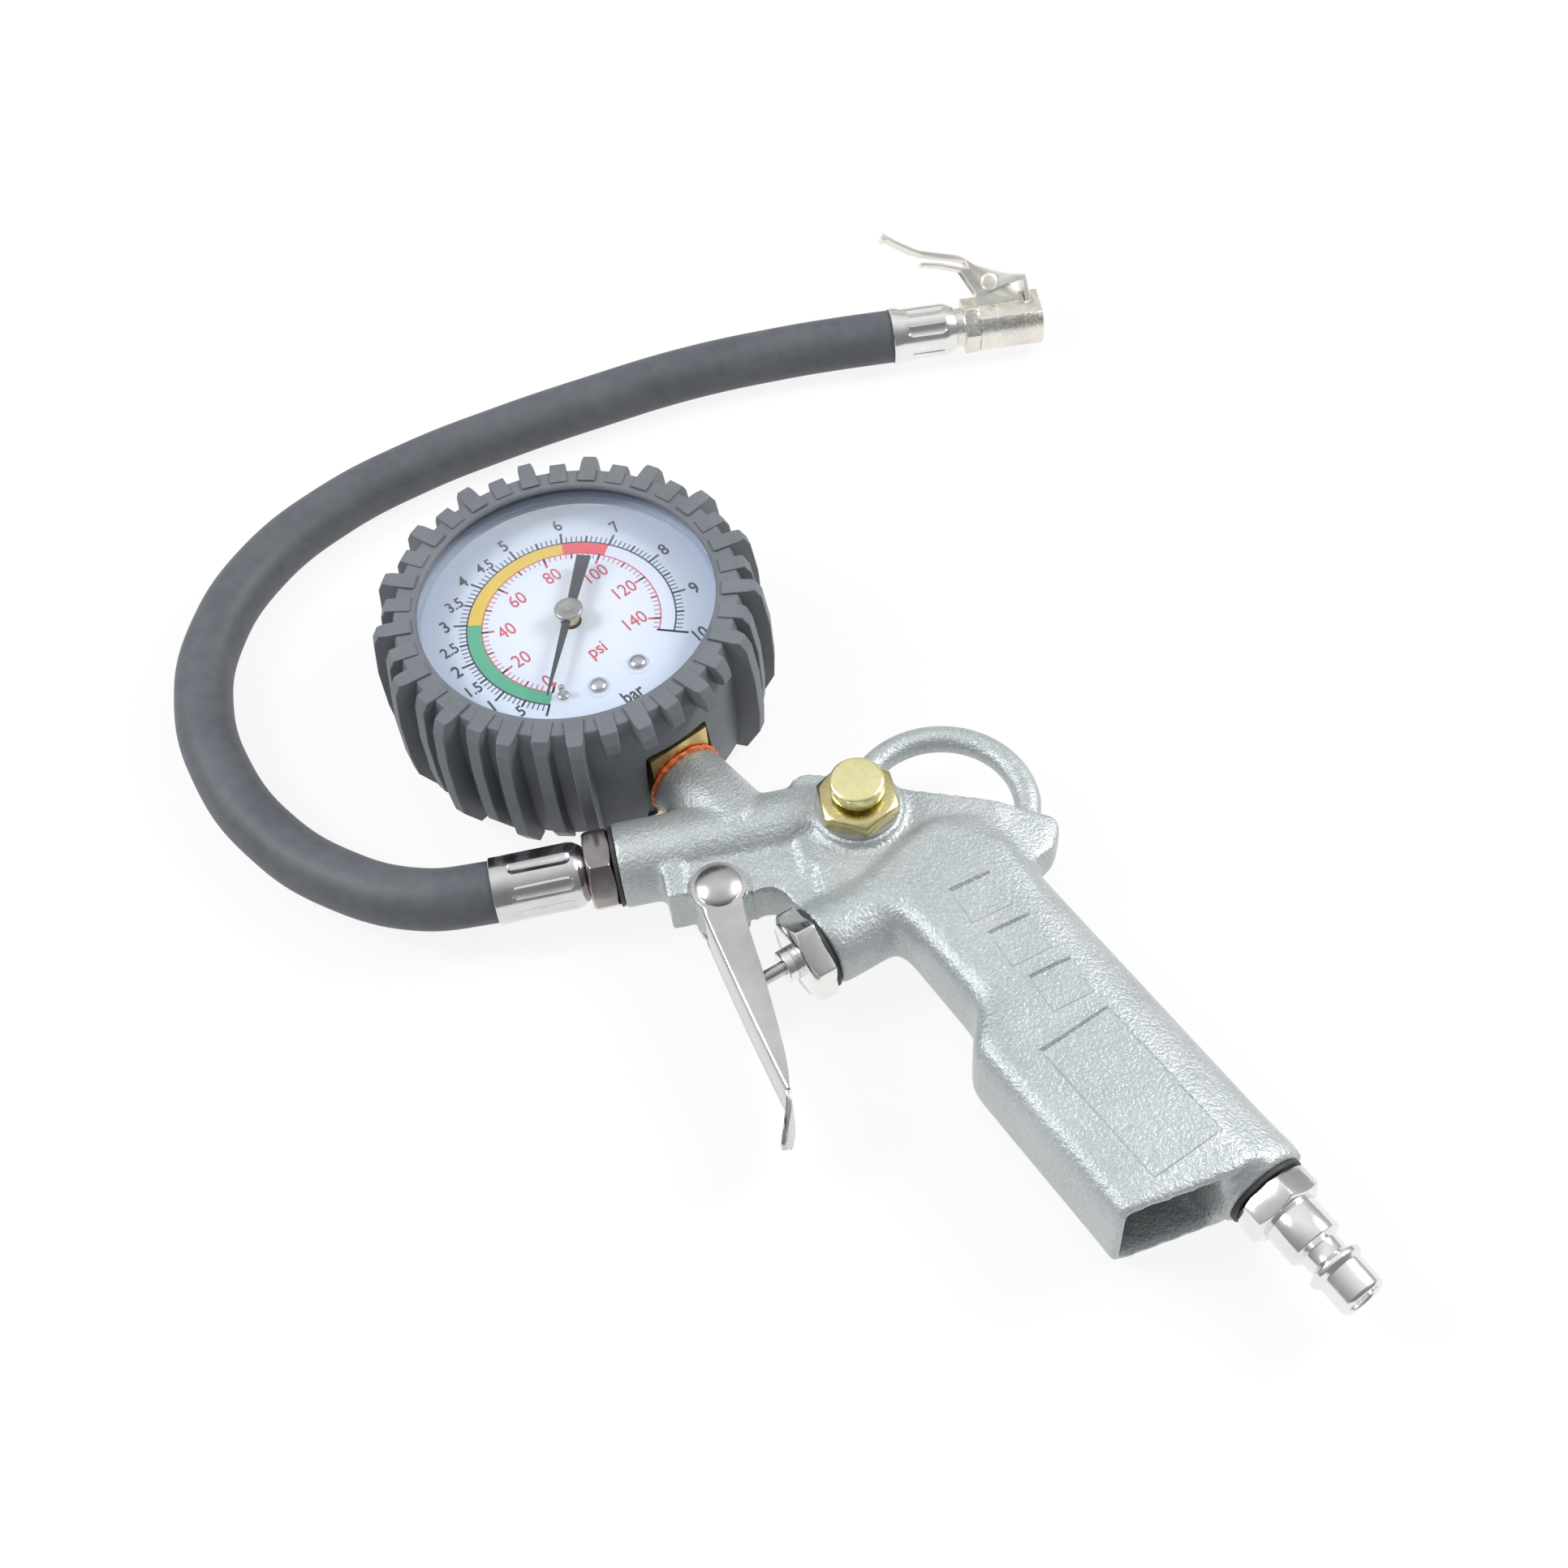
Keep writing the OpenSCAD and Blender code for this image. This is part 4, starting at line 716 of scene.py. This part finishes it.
black_print = joined(
    "dial_print_black",
    printed_arc("bar_line", bar_r, bar_r + 0.35, 0, 10, 0.03),
    marks("bar_tenths", bar_r, bar_r + 2.0, 0.24, 101, per_bar / 10),
    marks("bar_halves", bar_r, bar_r + 2.1, 0.48, 10, per_bar, per_bar / 2),
    marks("bar_wholes", bar_r, bar_r + 3.3, 0.5, 10, per_bar),
    marks("bar_end", psi_r - 0.6, bar_r + 3.6, 0.5, 2, per_bar / 500, 10 * per_bar),
    *[figure(words, 3.6, radius, angle, 0.07) for words, radius, angle in (
        ("6", 30.1, 88.6), ("7", 29.8, 61.7), ("8", 29.2, 33.8), ("9", 29.4, 5.5),
        ("10", 30.2, 338.5), ("5", 29.7, 115), ("4", 29.6, 141.8), ("3", 29.3, 169.1),
        ("2", 28.7, 196.7), ("1", 28.8, 223.6))],
    *[figure(words, 3.2, radius, angle, 0.05) for words, radius, angle in (
        ("4.5", 28.0, 129.1), ("3.5", 28.4, 155.9), ("2.5", 28.5, 183.4),
        ("1.5", 28.3, 210.3), (".5", 27.5, 236.9))],
    figure("bar", 3.6, 26.4, 293.1, 0.07))
red_print = joined(
    "dial_print_red",
    printed_arc("psi_line", psi_r - 0.25, psi_r, 0, 10, 0.03),
    marks("psi_twos", psi_r - 1.6, psi_r, 0.2, 73, 2 * per_psi),
    marks("psi_tens", psi_r - 1.7, psi_r, 0.45, 15, 10 * per_psi),
    marks("psi_twenties", psi_r - 3.0, psi_r, 0.5, 8, 20 * per_psi),
    *[figure(words, 3.9, radius, angle, 0.0) for words, radius, angle in (
        ("0", 17.7, 244.4), ("20", 15.1, 212.6), ("40", 15.0, 176.2), ("60", 14.9, 140),
        ("80", 14.9, 99.7), ("100", 14.8, 60), ("120", 14.6, 25.5), ("140", 14.5, 345.9))],
    figure("psi", 3.8, 11.3, 294.9, 0.03))


def inked(name, colour, dark):
    return dull(name, colour, dark, 0.0, 0.45, 300, 2400, 0.000008)


inked("black_ink", (0.045, 0.05, 0.06), (0.028, 0.03, 0.036)).on(black_print)
inked("red_ink", (0.72, 0.10, 0.13), (0.62, 0.07, 0.10)).on(red_print)
bands = []
for name, first, last, colour, dark in (
        ("dial_band_green", 0, 3, (0.10, 0.47, 0.27), (0.08, 0.41, 0.23)),
        ("dial_band_amber", 3, 6, (0.86, 0.60, 0.07), (0.79, 0.53, 0.05)),
        ("dial_band_red", 6, 7, (0.90, 0.10, 0.13), (0.82, 0.07, 0.10))):
    band = printed_arc(name, psi_r, bar_r, first, last, 0.02)
    inked(name + "_ink", colour, dark).on(band)
    bands.append(band)
for piece in (black_print, red_print, *bands):
    belongs(piece, "inflator", "dial")

dial_white = Finish("dial_white", (0.78, 0.85, 0.95), rough=0.5, Specular_IOR_Level=0.4)
enamel = dial_white.noise(60, 2, 0.5)
from_hub = dial_white.node("VectorMath", {0: dial_white.place(),
                                          1: at(*gauge_mid, dial_z)}, out="Value",
                           operation="DISTANCE")
# Painted shade: the dial is painted darker and bluer from 12 mm out towards its rim, standing
# in for the shade of the case wall and the boot's lip; the enamel noise adds random tone.
dial_white.tint(from_hub.band(0.012, 0.036) * 0.85 + enamel * 0.15, (0.87, 0.90, 0.955),
                (0.64, 0.74, 0.89))
dial_white.put("Roughness", 0.46 + 0.1 * enamel)
dial_white.bump(dial_white.noise(900, 2, 0.5), 0.000008, 0.5)
dial_white.on("dial_plate")

screws, seats = [], []
for spot in (dial_spot(20.5, 279.5), dial_spot(20.5, 309.5)):
    screw = turned("dial_screw", [(0, -2.5), (1.1, -2.5), (1.1, 0.02), (2.0, 0.02),
                                  (2.0, 0.35), (1.8, 0.75), (1.3, 1.05), (0.7, 1.2),
                                  (0, 1.25)], steps=40)
    screws.append(seat(ease(screw, 0.08, over=25), spot))
    dish = ring("screw_seat", (2.35, 0.0), (2.55, 0.17), (2.9, 0.2), (3.2, 0.1), (3.4, 0),
                (3.2, -0.2), (2.4, -0.2), steps=48)
    seats.append(seat(ease(dish, 0.04, over=20), spot))
screws = joined("dial_screw_pair", *screws)
seats = joined("dial_screw_seats", *seats)
steel.on(screws)
dial_white.on(seats)
belongs(screws, "inflator", "steel", "dial_screws")
belongs(seats, "inflator", "dial")
pin = turned("stop_pin_turned", [(0, -0.1), (1.3, -0.1), (1.3, 0.4), (1.15, 0.5),
                                 (0.7, 0.6), (0.7, 3.3), (0.5, 3.6), (0, 3.6)], steps=32)
seat(ease(pin, 0.06, over=25), dial_spot(21.5, zero_at + 7))
steel.on(pin)
belongs(pin, "inflator", "steel", "stop_pin")


# ---------------------------------------------------------------- pointer
# Blackened sheet pointer with a fine tip and a broad tail, pressed on a brass shaft under
# a turned steel hub cap.
def sheet_cut(name, outline, thick):
    """A piece cut from flat sheet: an outline in X and Y, then its thickness upwards."""
    only()
    bpy.ops.mesh.primitive_plane_add(size=1)
    piece = bpy.context.object
    piece.name = name
    open_mesh(piece)
    bpy.ops.mesh.merge(type="CENTER")
    bpy.ops.transform.translate(value=(*outline[0], 0))
    for (x0, y0), (x1, y1) in zip(outline, outline[1:]):
        bpy.ops.mesh.extrude_vertices_move(
            TRANSFORM_OT_translate={"value": (x1 - x0, y1 - y0, 0)})
    bpy.ops.mesh.select_all(action="SELECT")
    bpy.ops.mesh.edge_face_add()
    bpy.ops.mesh.extrude_region_move(TRANSFORM_OT_translate={"value": (0, 0, thick)})
    return weld(piece)


blade = ease(sheet_cut("pointer_blade", [(24, 0.2), (3, 0.95), (-1.5, 1.0), (-17, 1.7),
                                         (-17, -1.7), (-1.5, -1.0), (3, -0.95),
                                         (24, -0.2)], 0.5), 0.07)
hub = ease(ring("pointer_hub", (0.8, 0.0), (1.8, 0.0), (1.8, 0.7), (3.3, 0.7), (3.3, 1.35),
                (3.05, 1.6), (0.8, 1.6)), 0.1, over=25)
cap_dimple = ease(turned("hub_dimple", [(0, 0.9), (0.8, 0.9), (0.8, 1.6), (0.42, 1.6),
                                        (0.2, 1.32), (0, 1.28)], steps=32), 0.04, over=30)
needle_spot = at(*gauge_mid, dial_z + 3.2)
seat(blade, needle_spot, (zero_at, "Z"))
hub_cap = seat(joined("pointer_hub_cap", hub, cap_dimple), needle_spot)
pointer_black = dull("pointer_black", (0.05, 0.052, 0.058), (0.03, 0.032, 0.036), 0.0,
                     0.42, 260, 1800, 0.00002)
pointer_black.on(blade)
spun_steel = plated("spun_steel", (0.52, 0.50, 0.47), (0.36, 0.35, 0.33), 0.24, 1400)
spun_steel.on(hub_cap)
belongs(blade, "pointer", "needle", "needle")
belongs(hub_cap, "pointer", "steel", "needle")
collar = ring("pointer_collar", (0.8, 31.5), (1.7, 31.5), (2.0, 31.7), (2.0, 33.9),
              (1.7, 34.2), (0.8, 34.2), steps=16)
seat(ease(collar, 0.06, over=15), at(*gauge_mid))
brass.on(collar, "pointer_shaft")
belongs(collar, "pointer", "brass")

# ---------------------------------------------------------------- lens
# Clear acrylic window, moulded in one with the spacer ring that stands on the dial. The
# steel bezel behind the boot's lip holds it.
window = ease(turned("lens_window", [(0, 36.6), (35.6, 36.6), (36.7, 36.6), (36.7, 38),
                                     (0, 38)], steps=144), 0.12, over=30)
spacer = ease(ring("lens_spacer", (35.7, 31.22), (36.7, 31.22), (36.7, 36.58),
                   (35.7, 36.58), (35.55, 36.3), (35.7, 36.0), (35.7, 33.0),
                   (35.58, 32.8), (35.7, 32.6), steps=144), 0.05, over=25)
for piece in (window, spacer):
    seat(piece, at(*gauge_mid))
lens_clear = Finish("lens_clear", (0.95, 0.97, 1.0), metal=1.0, rough=0.03)
scuff = lens_clear.noise(70, 3, 0.6)
lens_clear.put("Roughness", 0.02 + 0.05 * scuff.band(0.5, 0.9))
clear = lens_clear.node("BsdfTransparent", {"Color": (0.985, 0.99, 1.0, 1)})
glance = lens_clear.node("Fresnel", {"IOR": 1.45})
lens_clear.mix(glance * 0.45, first=clear)
lens_clear.on(window)
frosted = Finish("frosted_spacer", (0.36, 0.41, 0.50), rough=0.16, Coat_Weight=0.5)
# Painted light on the spacer: its lower part is painted pale as the dial's reflection in the
# acrylic, its top part is painted dark as shade under the boot's lip, and a thin line near
# the top is a painted highlight.
height = frosted.node("SeparateXYZ", {"Vector": frosted.place()}, out=2)
milky = frosted.noise(90, 2, 0.5)
shaded_top = height.band(0.0326, 0.0362)
line = height.band(0.0338, 0.0339) - height.band(0.0341, 0.0342)
frosted.tint(shaded_top * 0.85 + 0.15 * milky - line, (0.80, 0.85, 0.93), (0.20, 0.235, 0.30))
frosted.put("Roughness", 0.14 + 0.1 * milky)
frosted.on(spacer)
belongs(window, "inflator", "lens", "lens")
belongs(spacer, "inflator", "lens", "lens")

# ---------------------------------------------------------------- boot
# Moulded rubber boot stretched over the gauge: a tapered wall with a lip over the bezel,
# and tall and short ribs by turns that wrap from the lip to the back.
wall = ring("rubber_boot_wall", (24, 0.6), (26, 0), (36.6, 0), (38.2, 1.2), (39.6, 3.5),
            (40.3, 7.5), (40.6, 12), (40.6, 31), (40.1, 36), (39.6, 38.6), (39.1, 40),
            (34.7, 40), (34, 39.4), (34, 38.72), (38.2, 38.72), (38.2, 1.9), (24, 1.9),
            steps=180)
ease(wall, 0.3, over=25)
only()
bpy.ops.mesh.primitive_cube_add(size=1, scale=(16, 20, 24.6), location=(44, 0, 14.3))
cutter = bpy.context.object
bpy.ops.object.transform_apply(location=True, scale=True)
resized(cutter, lambda spot: spot.z > 20, (1, 0.82, 1), (44, 0, 26.6))
ease(cutter, 1.2, over=40, rounds=4)
change(wall, "BOOLEAN", object=cutter, operation="DIFFERENCE", solver="EXACT")
bpy.data.objects.remove(cutter)


def raised(piece, height):
    """Lifts a piece on the bench."""
    open_mesh(piece)
    bpy.ops.transform.translate(value=(0, 0, height))
    bpy.ops.object.mode_set(mode="OBJECT")
    return piece


def swung(piece, degrees, axis):
    """Turns a piece on the bench about the origin."""
    open_mesh(piece)
    bpy.ops.transform.rotate(value=math.radians(degrees), orient_axis=axis,
                             center_override=(0, 0, 0))
    bpy.ops.object.mode_set(mode="OBJECT")
    return piece


slab_thick, root_thick, tip_thick = 4.2, 3.75, 3.05


def rib(name, tip, top):
    """One rib, modelled lying over +X: cut as a slab, thinned to its tip and rounded."""
    slab = sheet_cut(name, [(35.4, top), (tip - 2.9, top), (tip - 1.4, top - 2.8),
                            (tip - 0.2, 28), (tip, 16), (tip - 0.5, 9), (tip - 4.1, 2),
                            (39.0, 2), (39.4, 5), (39.9, 12), (39.9, 31), (38.9, 39),
                            (35.4, 39)], slab_thick)
    open_mesh(raised(slab, -slab_thick / 2))
    bpy.ops.mesh.bisect(plane_co=(41.5, 0, 0), plane_no=(1, 0, 0))
    swung(slab, -90, "X")
    if sum(point.co.z for point in slab.data.vertices) < 0:
        swung(slab, 180, "X")
    for low, high, thick in ((41, 42, root_thick), (42, 60, tip_thick)):
        resized(slab, lambda spot: low < spot.x <= high, (1, thick / slab_thick, 1))
    return ease(slab, 0.22, over=38)


rib_pairs = 17
pitch = 360 / rib_pairs
tall = rib("tall_rib", 45.8, 40.6)
short = swung(rib("short_rib", 44.0, 40.4), pitch / 2, "Z")
ribs = swung(joined("ribs", tall, short), 180, "Z")
open_mesh(ribs)
bpy.ops.mesh.spin(steps=rib_pairs - 1, angle=math.radians(-pitch * (rib_pairs - 1)),
                  center=(0, 0, 0), axis=(0, 0, 1), dupli=True)
bpy.ops.object.mode_set(mode="OBJECT")
clearing = raised(sheet_cut("clearing", [(30, -15), (64, -32), (64, 32), (30, 15)], 36), -1)
change(ribs, "BOOLEAN", object=clearing, operation="DIFFERENCE", solver="EXACT")
bpy.data.objects.remove(clearing)
boot = seat(joined("rubber_boot_moulding", wall, ribs), at(*gauge_mid), (stem_dir, "Z"))
only(boot)
bpy.ops.object.shade_smooth_by_angle(angle=math.radians(18))
boot_rubber = Finish("boot_rubber", (0.16, 0.167, 0.18), rough=0.55,
                     Specular_IOR_Level=0.45)
mould = boot_rubber.noise(70, 3, 0.6)
skin = boot_rubber.noise(1300, 3, 0.6)
dust = boot_rubber.noise(2600, 1, 0.5).band(0.72, 0.76)
boot_rubber.tint(mould.band(0.3, 0.7) * 0.6 + skin.band(0.35, 0.7) * 0.25 + dust * 1.6,
                 (0.13, 0.14, 0.158), (0.185, 0.198, 0.22))
boot_rubber.put("Roughness", 0.42 + 0.12 * mould + 0.08 * skin)
boot_rubber.bump(skin, 0.00006, 0.7)
boot_rubber.on(boot)
belongs(boot, "inflator", "rubber_boot", "rubber_boot")

# ---------------------------------------------------------------- bleed valve
# Pale brass nut on a soft alloy washer, with a mushroom button pressed down to let the
# air out. The rubber poppet and its spring sit under the button in the casting.
nut_spot = at(54, -3, middle)
nut = raised(hexagon("bleed_nut_hex", 16.5, 3.8, bore=3.1), 9.8)
shank = ring("bleed_nut_shank", (3.1, 3.3), (5.5, 3.3), (5.5, 10.2), (3.1, 10.2))
nut = seat(joined("bleed_nut_hex", nut, shank), nut_spot)
button = turned("bleed_button_head", [(0, 1.6), (3, 1.6), (3, 15.5), (5.55, 15.5),
                                      (5.95, 15.8), (6, 16.2), (6, 18.4), (5.85, 18.85),
                                      (5.4, 19.1), (0, 19.1)])
seat(ease(button, 0.12, over=20, rounds=3), nut_spot)
pale_brass = dull("pale_brass", (0.95, 0.90, 0.52), (0.84, 0.77, 0.38), 1.0, 0.27, 420,
                  1700, 0.00003)
pale_brass.on(button)
dull("nut_brass", (0.70, 0.62, 0.32), (0.55, 0.47, 0.22), 1.0, 0.22, 420, 1700,
     0.00003).on(nut)
belongs(nut, "inflator", "pale_brass", "bleed_nut")
belongs(button, "button", "pale_brass", "bleed_button")
black_seal.on("bleed_poppet")
dull("soft_alloy", (0.50, 0.53, 0.54), (0.40, 0.43, 0.44), 0.6, 0.4, 300, 1500,
     0.00003).on("bleed_washer")
steel.on("bleed_spring")

# ---------------------------------------------------------------- trigger
# Channel folded from steel sheet and plated: two cheeks over the casting's lug, a web
# that presses the valve's stem, and a curled end. A domed rivet is its hinge.
sheet, cheek, web_end = 1.2, 7.5, -50.5
rivet_spot = at(20.5, -15, middle)


def web_edge(y):
    """The front of the trigger's web, y millimetres from the rivet."""
    down = (-y - 1.5) / 49
    return -5.4 + 8.2 * down + 1.4 * down * down


def arc_of(x, y, radius, first, last, count):
    """Points of an arc, angles in degrees."""
    return [(x + radius * math.cos(math.radians(first + (last - first) * i / count)),
             y + radius * math.sin(math.radians(first + (last - first) * i / count)))
            for i in range(count + 1)]


fold = [-3.4 - 47.1 * i / 24 for i in range(25)]
channel = sheet_cut(
    "trigger_channel",
    arc_of(0, 0, 6, -42, 204, 40) + [(web_edge(y), y) for y in fold]
    + [(web_edge(web_end) + sheet, web_end), (5.8, -46.5), (5.95, -42), (5.9, -38),
       (5.6, -30), (5.2, -22), (4.7, -16), (4.3, -10.5), (4.25, -7)], 2 * cheek)
raised(channel, -cheek)
bpy.ops.object.mode_set(mode="EDIT")
bpy.ops.mesh.select_mode(type="EDGE")
bpy.ops.mesh.select_all(action="DESELECT")
bpy.ops.object.mode_set(mode="OBJECT")
spots = [point.co for point in channel.data.vertices]
for edge in channel.data.edges:
    a, b = (spots[i] for i in edge.vertices)
    edge.select = (abs(a.z - b.z) < 0.01 and max(a.y, b.y) < -3
                   and all(abs(end.x - web_edge(end.y)) < 0.02 for end in (a, b)))
bpy.ops.object.mode_set(mode="EDIT")
bpy.ops.mesh.bevel(offset=1.1, segments=4, affect="EDGES", clamp_overlap=False)
bpy.ops.object.mode_set(mode="OBJECT")
hollow = sheet_cut(
    "hollow", [(-12, 12), (-12, -6.4)]
    + [(web_edge(y) + sheet, y) for y in fold if y < -6.4]
    + [(web_edge(web_end) + sheet, -54), (14, -54), (14, 12)], 2 * (cheek - sheet))
raised(hollow, sheet - cheek)
change(channel, "BOOLEAN", object=hollow, operation="DIFFERENCE", solver="EXACT")
bpy.data.objects.remove(hollow)
drill = turned("drill", [(0, -10), (2.48, -10), (2.48, 10), (0, 10)], steps=48)
change(channel, "BOOLEAN", object=drill, operation="DIFFERENCE", solver="EXACT")
bpy.data.objects.remove(drill)
curl, blade_wide = 16, 14
blade = sheet_cut("trigger_tip", arc_of(-10.6, -50, curl, 0, -38, 12)
                  + arc_of(-10.6, -50, curl - sheet, -38, 0, 12), blade_wide)
raised(blade, -blade_wide / 2)
for past, keep in ((11, 0.98), (17, 0.95), (23, 0.91), (27, 0.86), (30, 0.80), (33, 0.72),
                   (36, 0.5)):
    low = -50 - 15.4 * math.sin(math.radians(past))
    resized(blade, lambda spot: spot.y < low, (1, 1, keep))
trigger = joined("trigger_channel", ease(channel, 0.16, over=40), ease(blade, 0.4, over=50))
seat(trigger, rivet_spot)
satin_plate = plated("satin_plate", (0.64, 0.63, 0.625), (0.53, 0.52, 0.515), 0.2, 1100)
satin_plate.on(trigger)
belongs(trigger, "trigger", "chrome", "trigger")
rivet = turned("trigger_rivet", [
    (0, 9.66), (1.8, 9.49), (3.4, 9.04), (4.5, 8.54), (5.1, 8.2), (5.1, 7.6), (2.4, 7.6),
    (2.4, -7.6), (5.1, -7.6), (5.1, -8.2), (4.5, -8.54), (3.4, -9.04), (1.8, -9.49),
    (0, -9.66)], steps=64)
seat(ease(rivet, 0.15, over=28), rivet_spot)
satin_plate.on(rivet)
belongs(rivet, "inflator", "chrome", "trigger_pin")

# ---------------------------------------------------------------- trigger valve
# Hex cap with a collar that guides the steel stem, screwed into the casting's tube on a
# black washer. The brass seat, the piston and its spring lie inside.
valve_spot, valve_turns = at(38.8, -30.8, middle), ((20, "Z"), (90, "Y"))
cap_hex = swung(hexagon("valve_cap_hex", 18, 5, bore=1.6), 180, "X")
cap_hex = raised(swung(cap_hex, 30, "Z"), -0.8)
cap_collar = ease(ring("valve_cap_collar", (1.6, -9), (3.8, -9), (3.8, -5.6),
                       (1.6, -5.6)), 0.3, rounds=3)
cap_plug = ring("valve_cap_plug", (1.6, -1.2), (6, -1.2), (6, 9), (1.6, 9))
cap = seat(joined("valve_cap_hex", cap_hex, cap_collar, cap_plug), valve_spot,
           *valve_turns)
chrome.on(cap)
belongs(cap, "inflator", "chrome", "valve_cap")
stem = turned("valve_stem_rod", [(0, -19.51), (0.9, -19.4), (1.3, -19.1), (1.5, -18.6),
                                 (1.5, 14.1), (0, 14.1)], steps=32)
seat(ease(stem, 0.08, over=50), valve_spot, *valve_turns)
steel.on(stem, "valve_spring")
belongs(stem, "valve_stem", "steel", "valve_stem")
brass.on("valve_seat")
black_seal.on("cap_seal", "valve_piston")

# ---------------------------------------------------------------- air inlet
# Plated quick-coupling plug with a locking groove, screwed into the grip's end on a
# black washer.
lean, inlet_across = math.radians(grip_lean), 62.3
inlet_spot = at(inlet_across * math.cos(lean), inlet_across * math.sin(lean), middle)
inlet_turns = ((grip_lean, "Z"), (90, "X"))
plug_hex = raised(hexagon("plug_hex", 15, 6, bore=5.0, both=True), 140.8)
plug = ring("inlet_plug_body", (3.6, 128.6), (5.9, 128.6), (6.5, 129.3), (6.5, 141),
            (5.6, 141), (5.6, 146.4), (6.0, 146.6), (6.0, 154.3), (4.3, 155.3),
            (4.3, 158.3), (6.0, 159.2), (6.0, 160.2), (5.0, 161.1), (5.0, 166.9),
            (4.5, 167.6), (3.9, 167.6), (3.6, 167.2))
plug = seat(joined("inlet_plug_turned", ease(plug, 0.16, over=25), plug_hex), inlet_spot,
            *inlet_turns)
chrome.on(plug)
belongs(plug, "inflator", "chrome", "inlet_plug")
black_seal.on("inlet_seal")


# ---------------------------------------------------------------- tyre chuck
# Nickel-plated chuck on the hose's end: a collar, a body with two flats and a mouth, and
# a sprung clip that is squeezed open over a tyre's valve.
def chuck_part(node, name, width):
    """A part of the chuck with the burrs taken off its edges."""
    piece = copy_of(node, name)
    open_mesh(piece)
    bpy.ops.mesh.dissolve_limited(angle_limit=math.radians(0.6))
    bpy.ops.object.mode_set(mode="OBJECT")
    return ease(piece, width, over=35)


cast_nickel = plated("cast_nickel", (0.94, 0.91, 0.84), (0.76, 0.72, 0.66), 0.24, 1900)
pits = cast_nickel.noise(1500, 3, 0.65)
cast_nickel.put("Roughness", 0.2 + 0.25 * pits.band(0.35, 0.65))
cast_nickel.bump(pits, 0.00006, 0.6)
sheet_nickel = plated("sheet_nickel", (0.97, 0.95, 0.89), (0.88, 0.85, 0.77), 0.3, 1000)
sheet_nickel.put("Metallic", 0.7)
for node, name, width, body, finish in (
        ("chuck_collar", "chuck_hex_collar", 0.0002, "inflator", cast_nickel),
        ("chuck_body", "chuck_body_bar", 0.0003, "inflator", cast_nickel),
        ("chuck_bracket", "chuck_saddle", 0.00012, "inflator", sheet_nickel),
        ("chuck_clip", "chuck_clip_lever", 0.00012, "clip", sheet_nickel),
        ("chuck_pin", "chuck_rivet", 0.00015, "inflator", sheet_nickel)):
    piece = chuck_part(node, name, width)
    finish.on(piece)
    belongs(piece, body, "chrome", node)
brass.on("chuck_core")
black_seal.on("chuck_seal")
steel.on("chuck_spring")
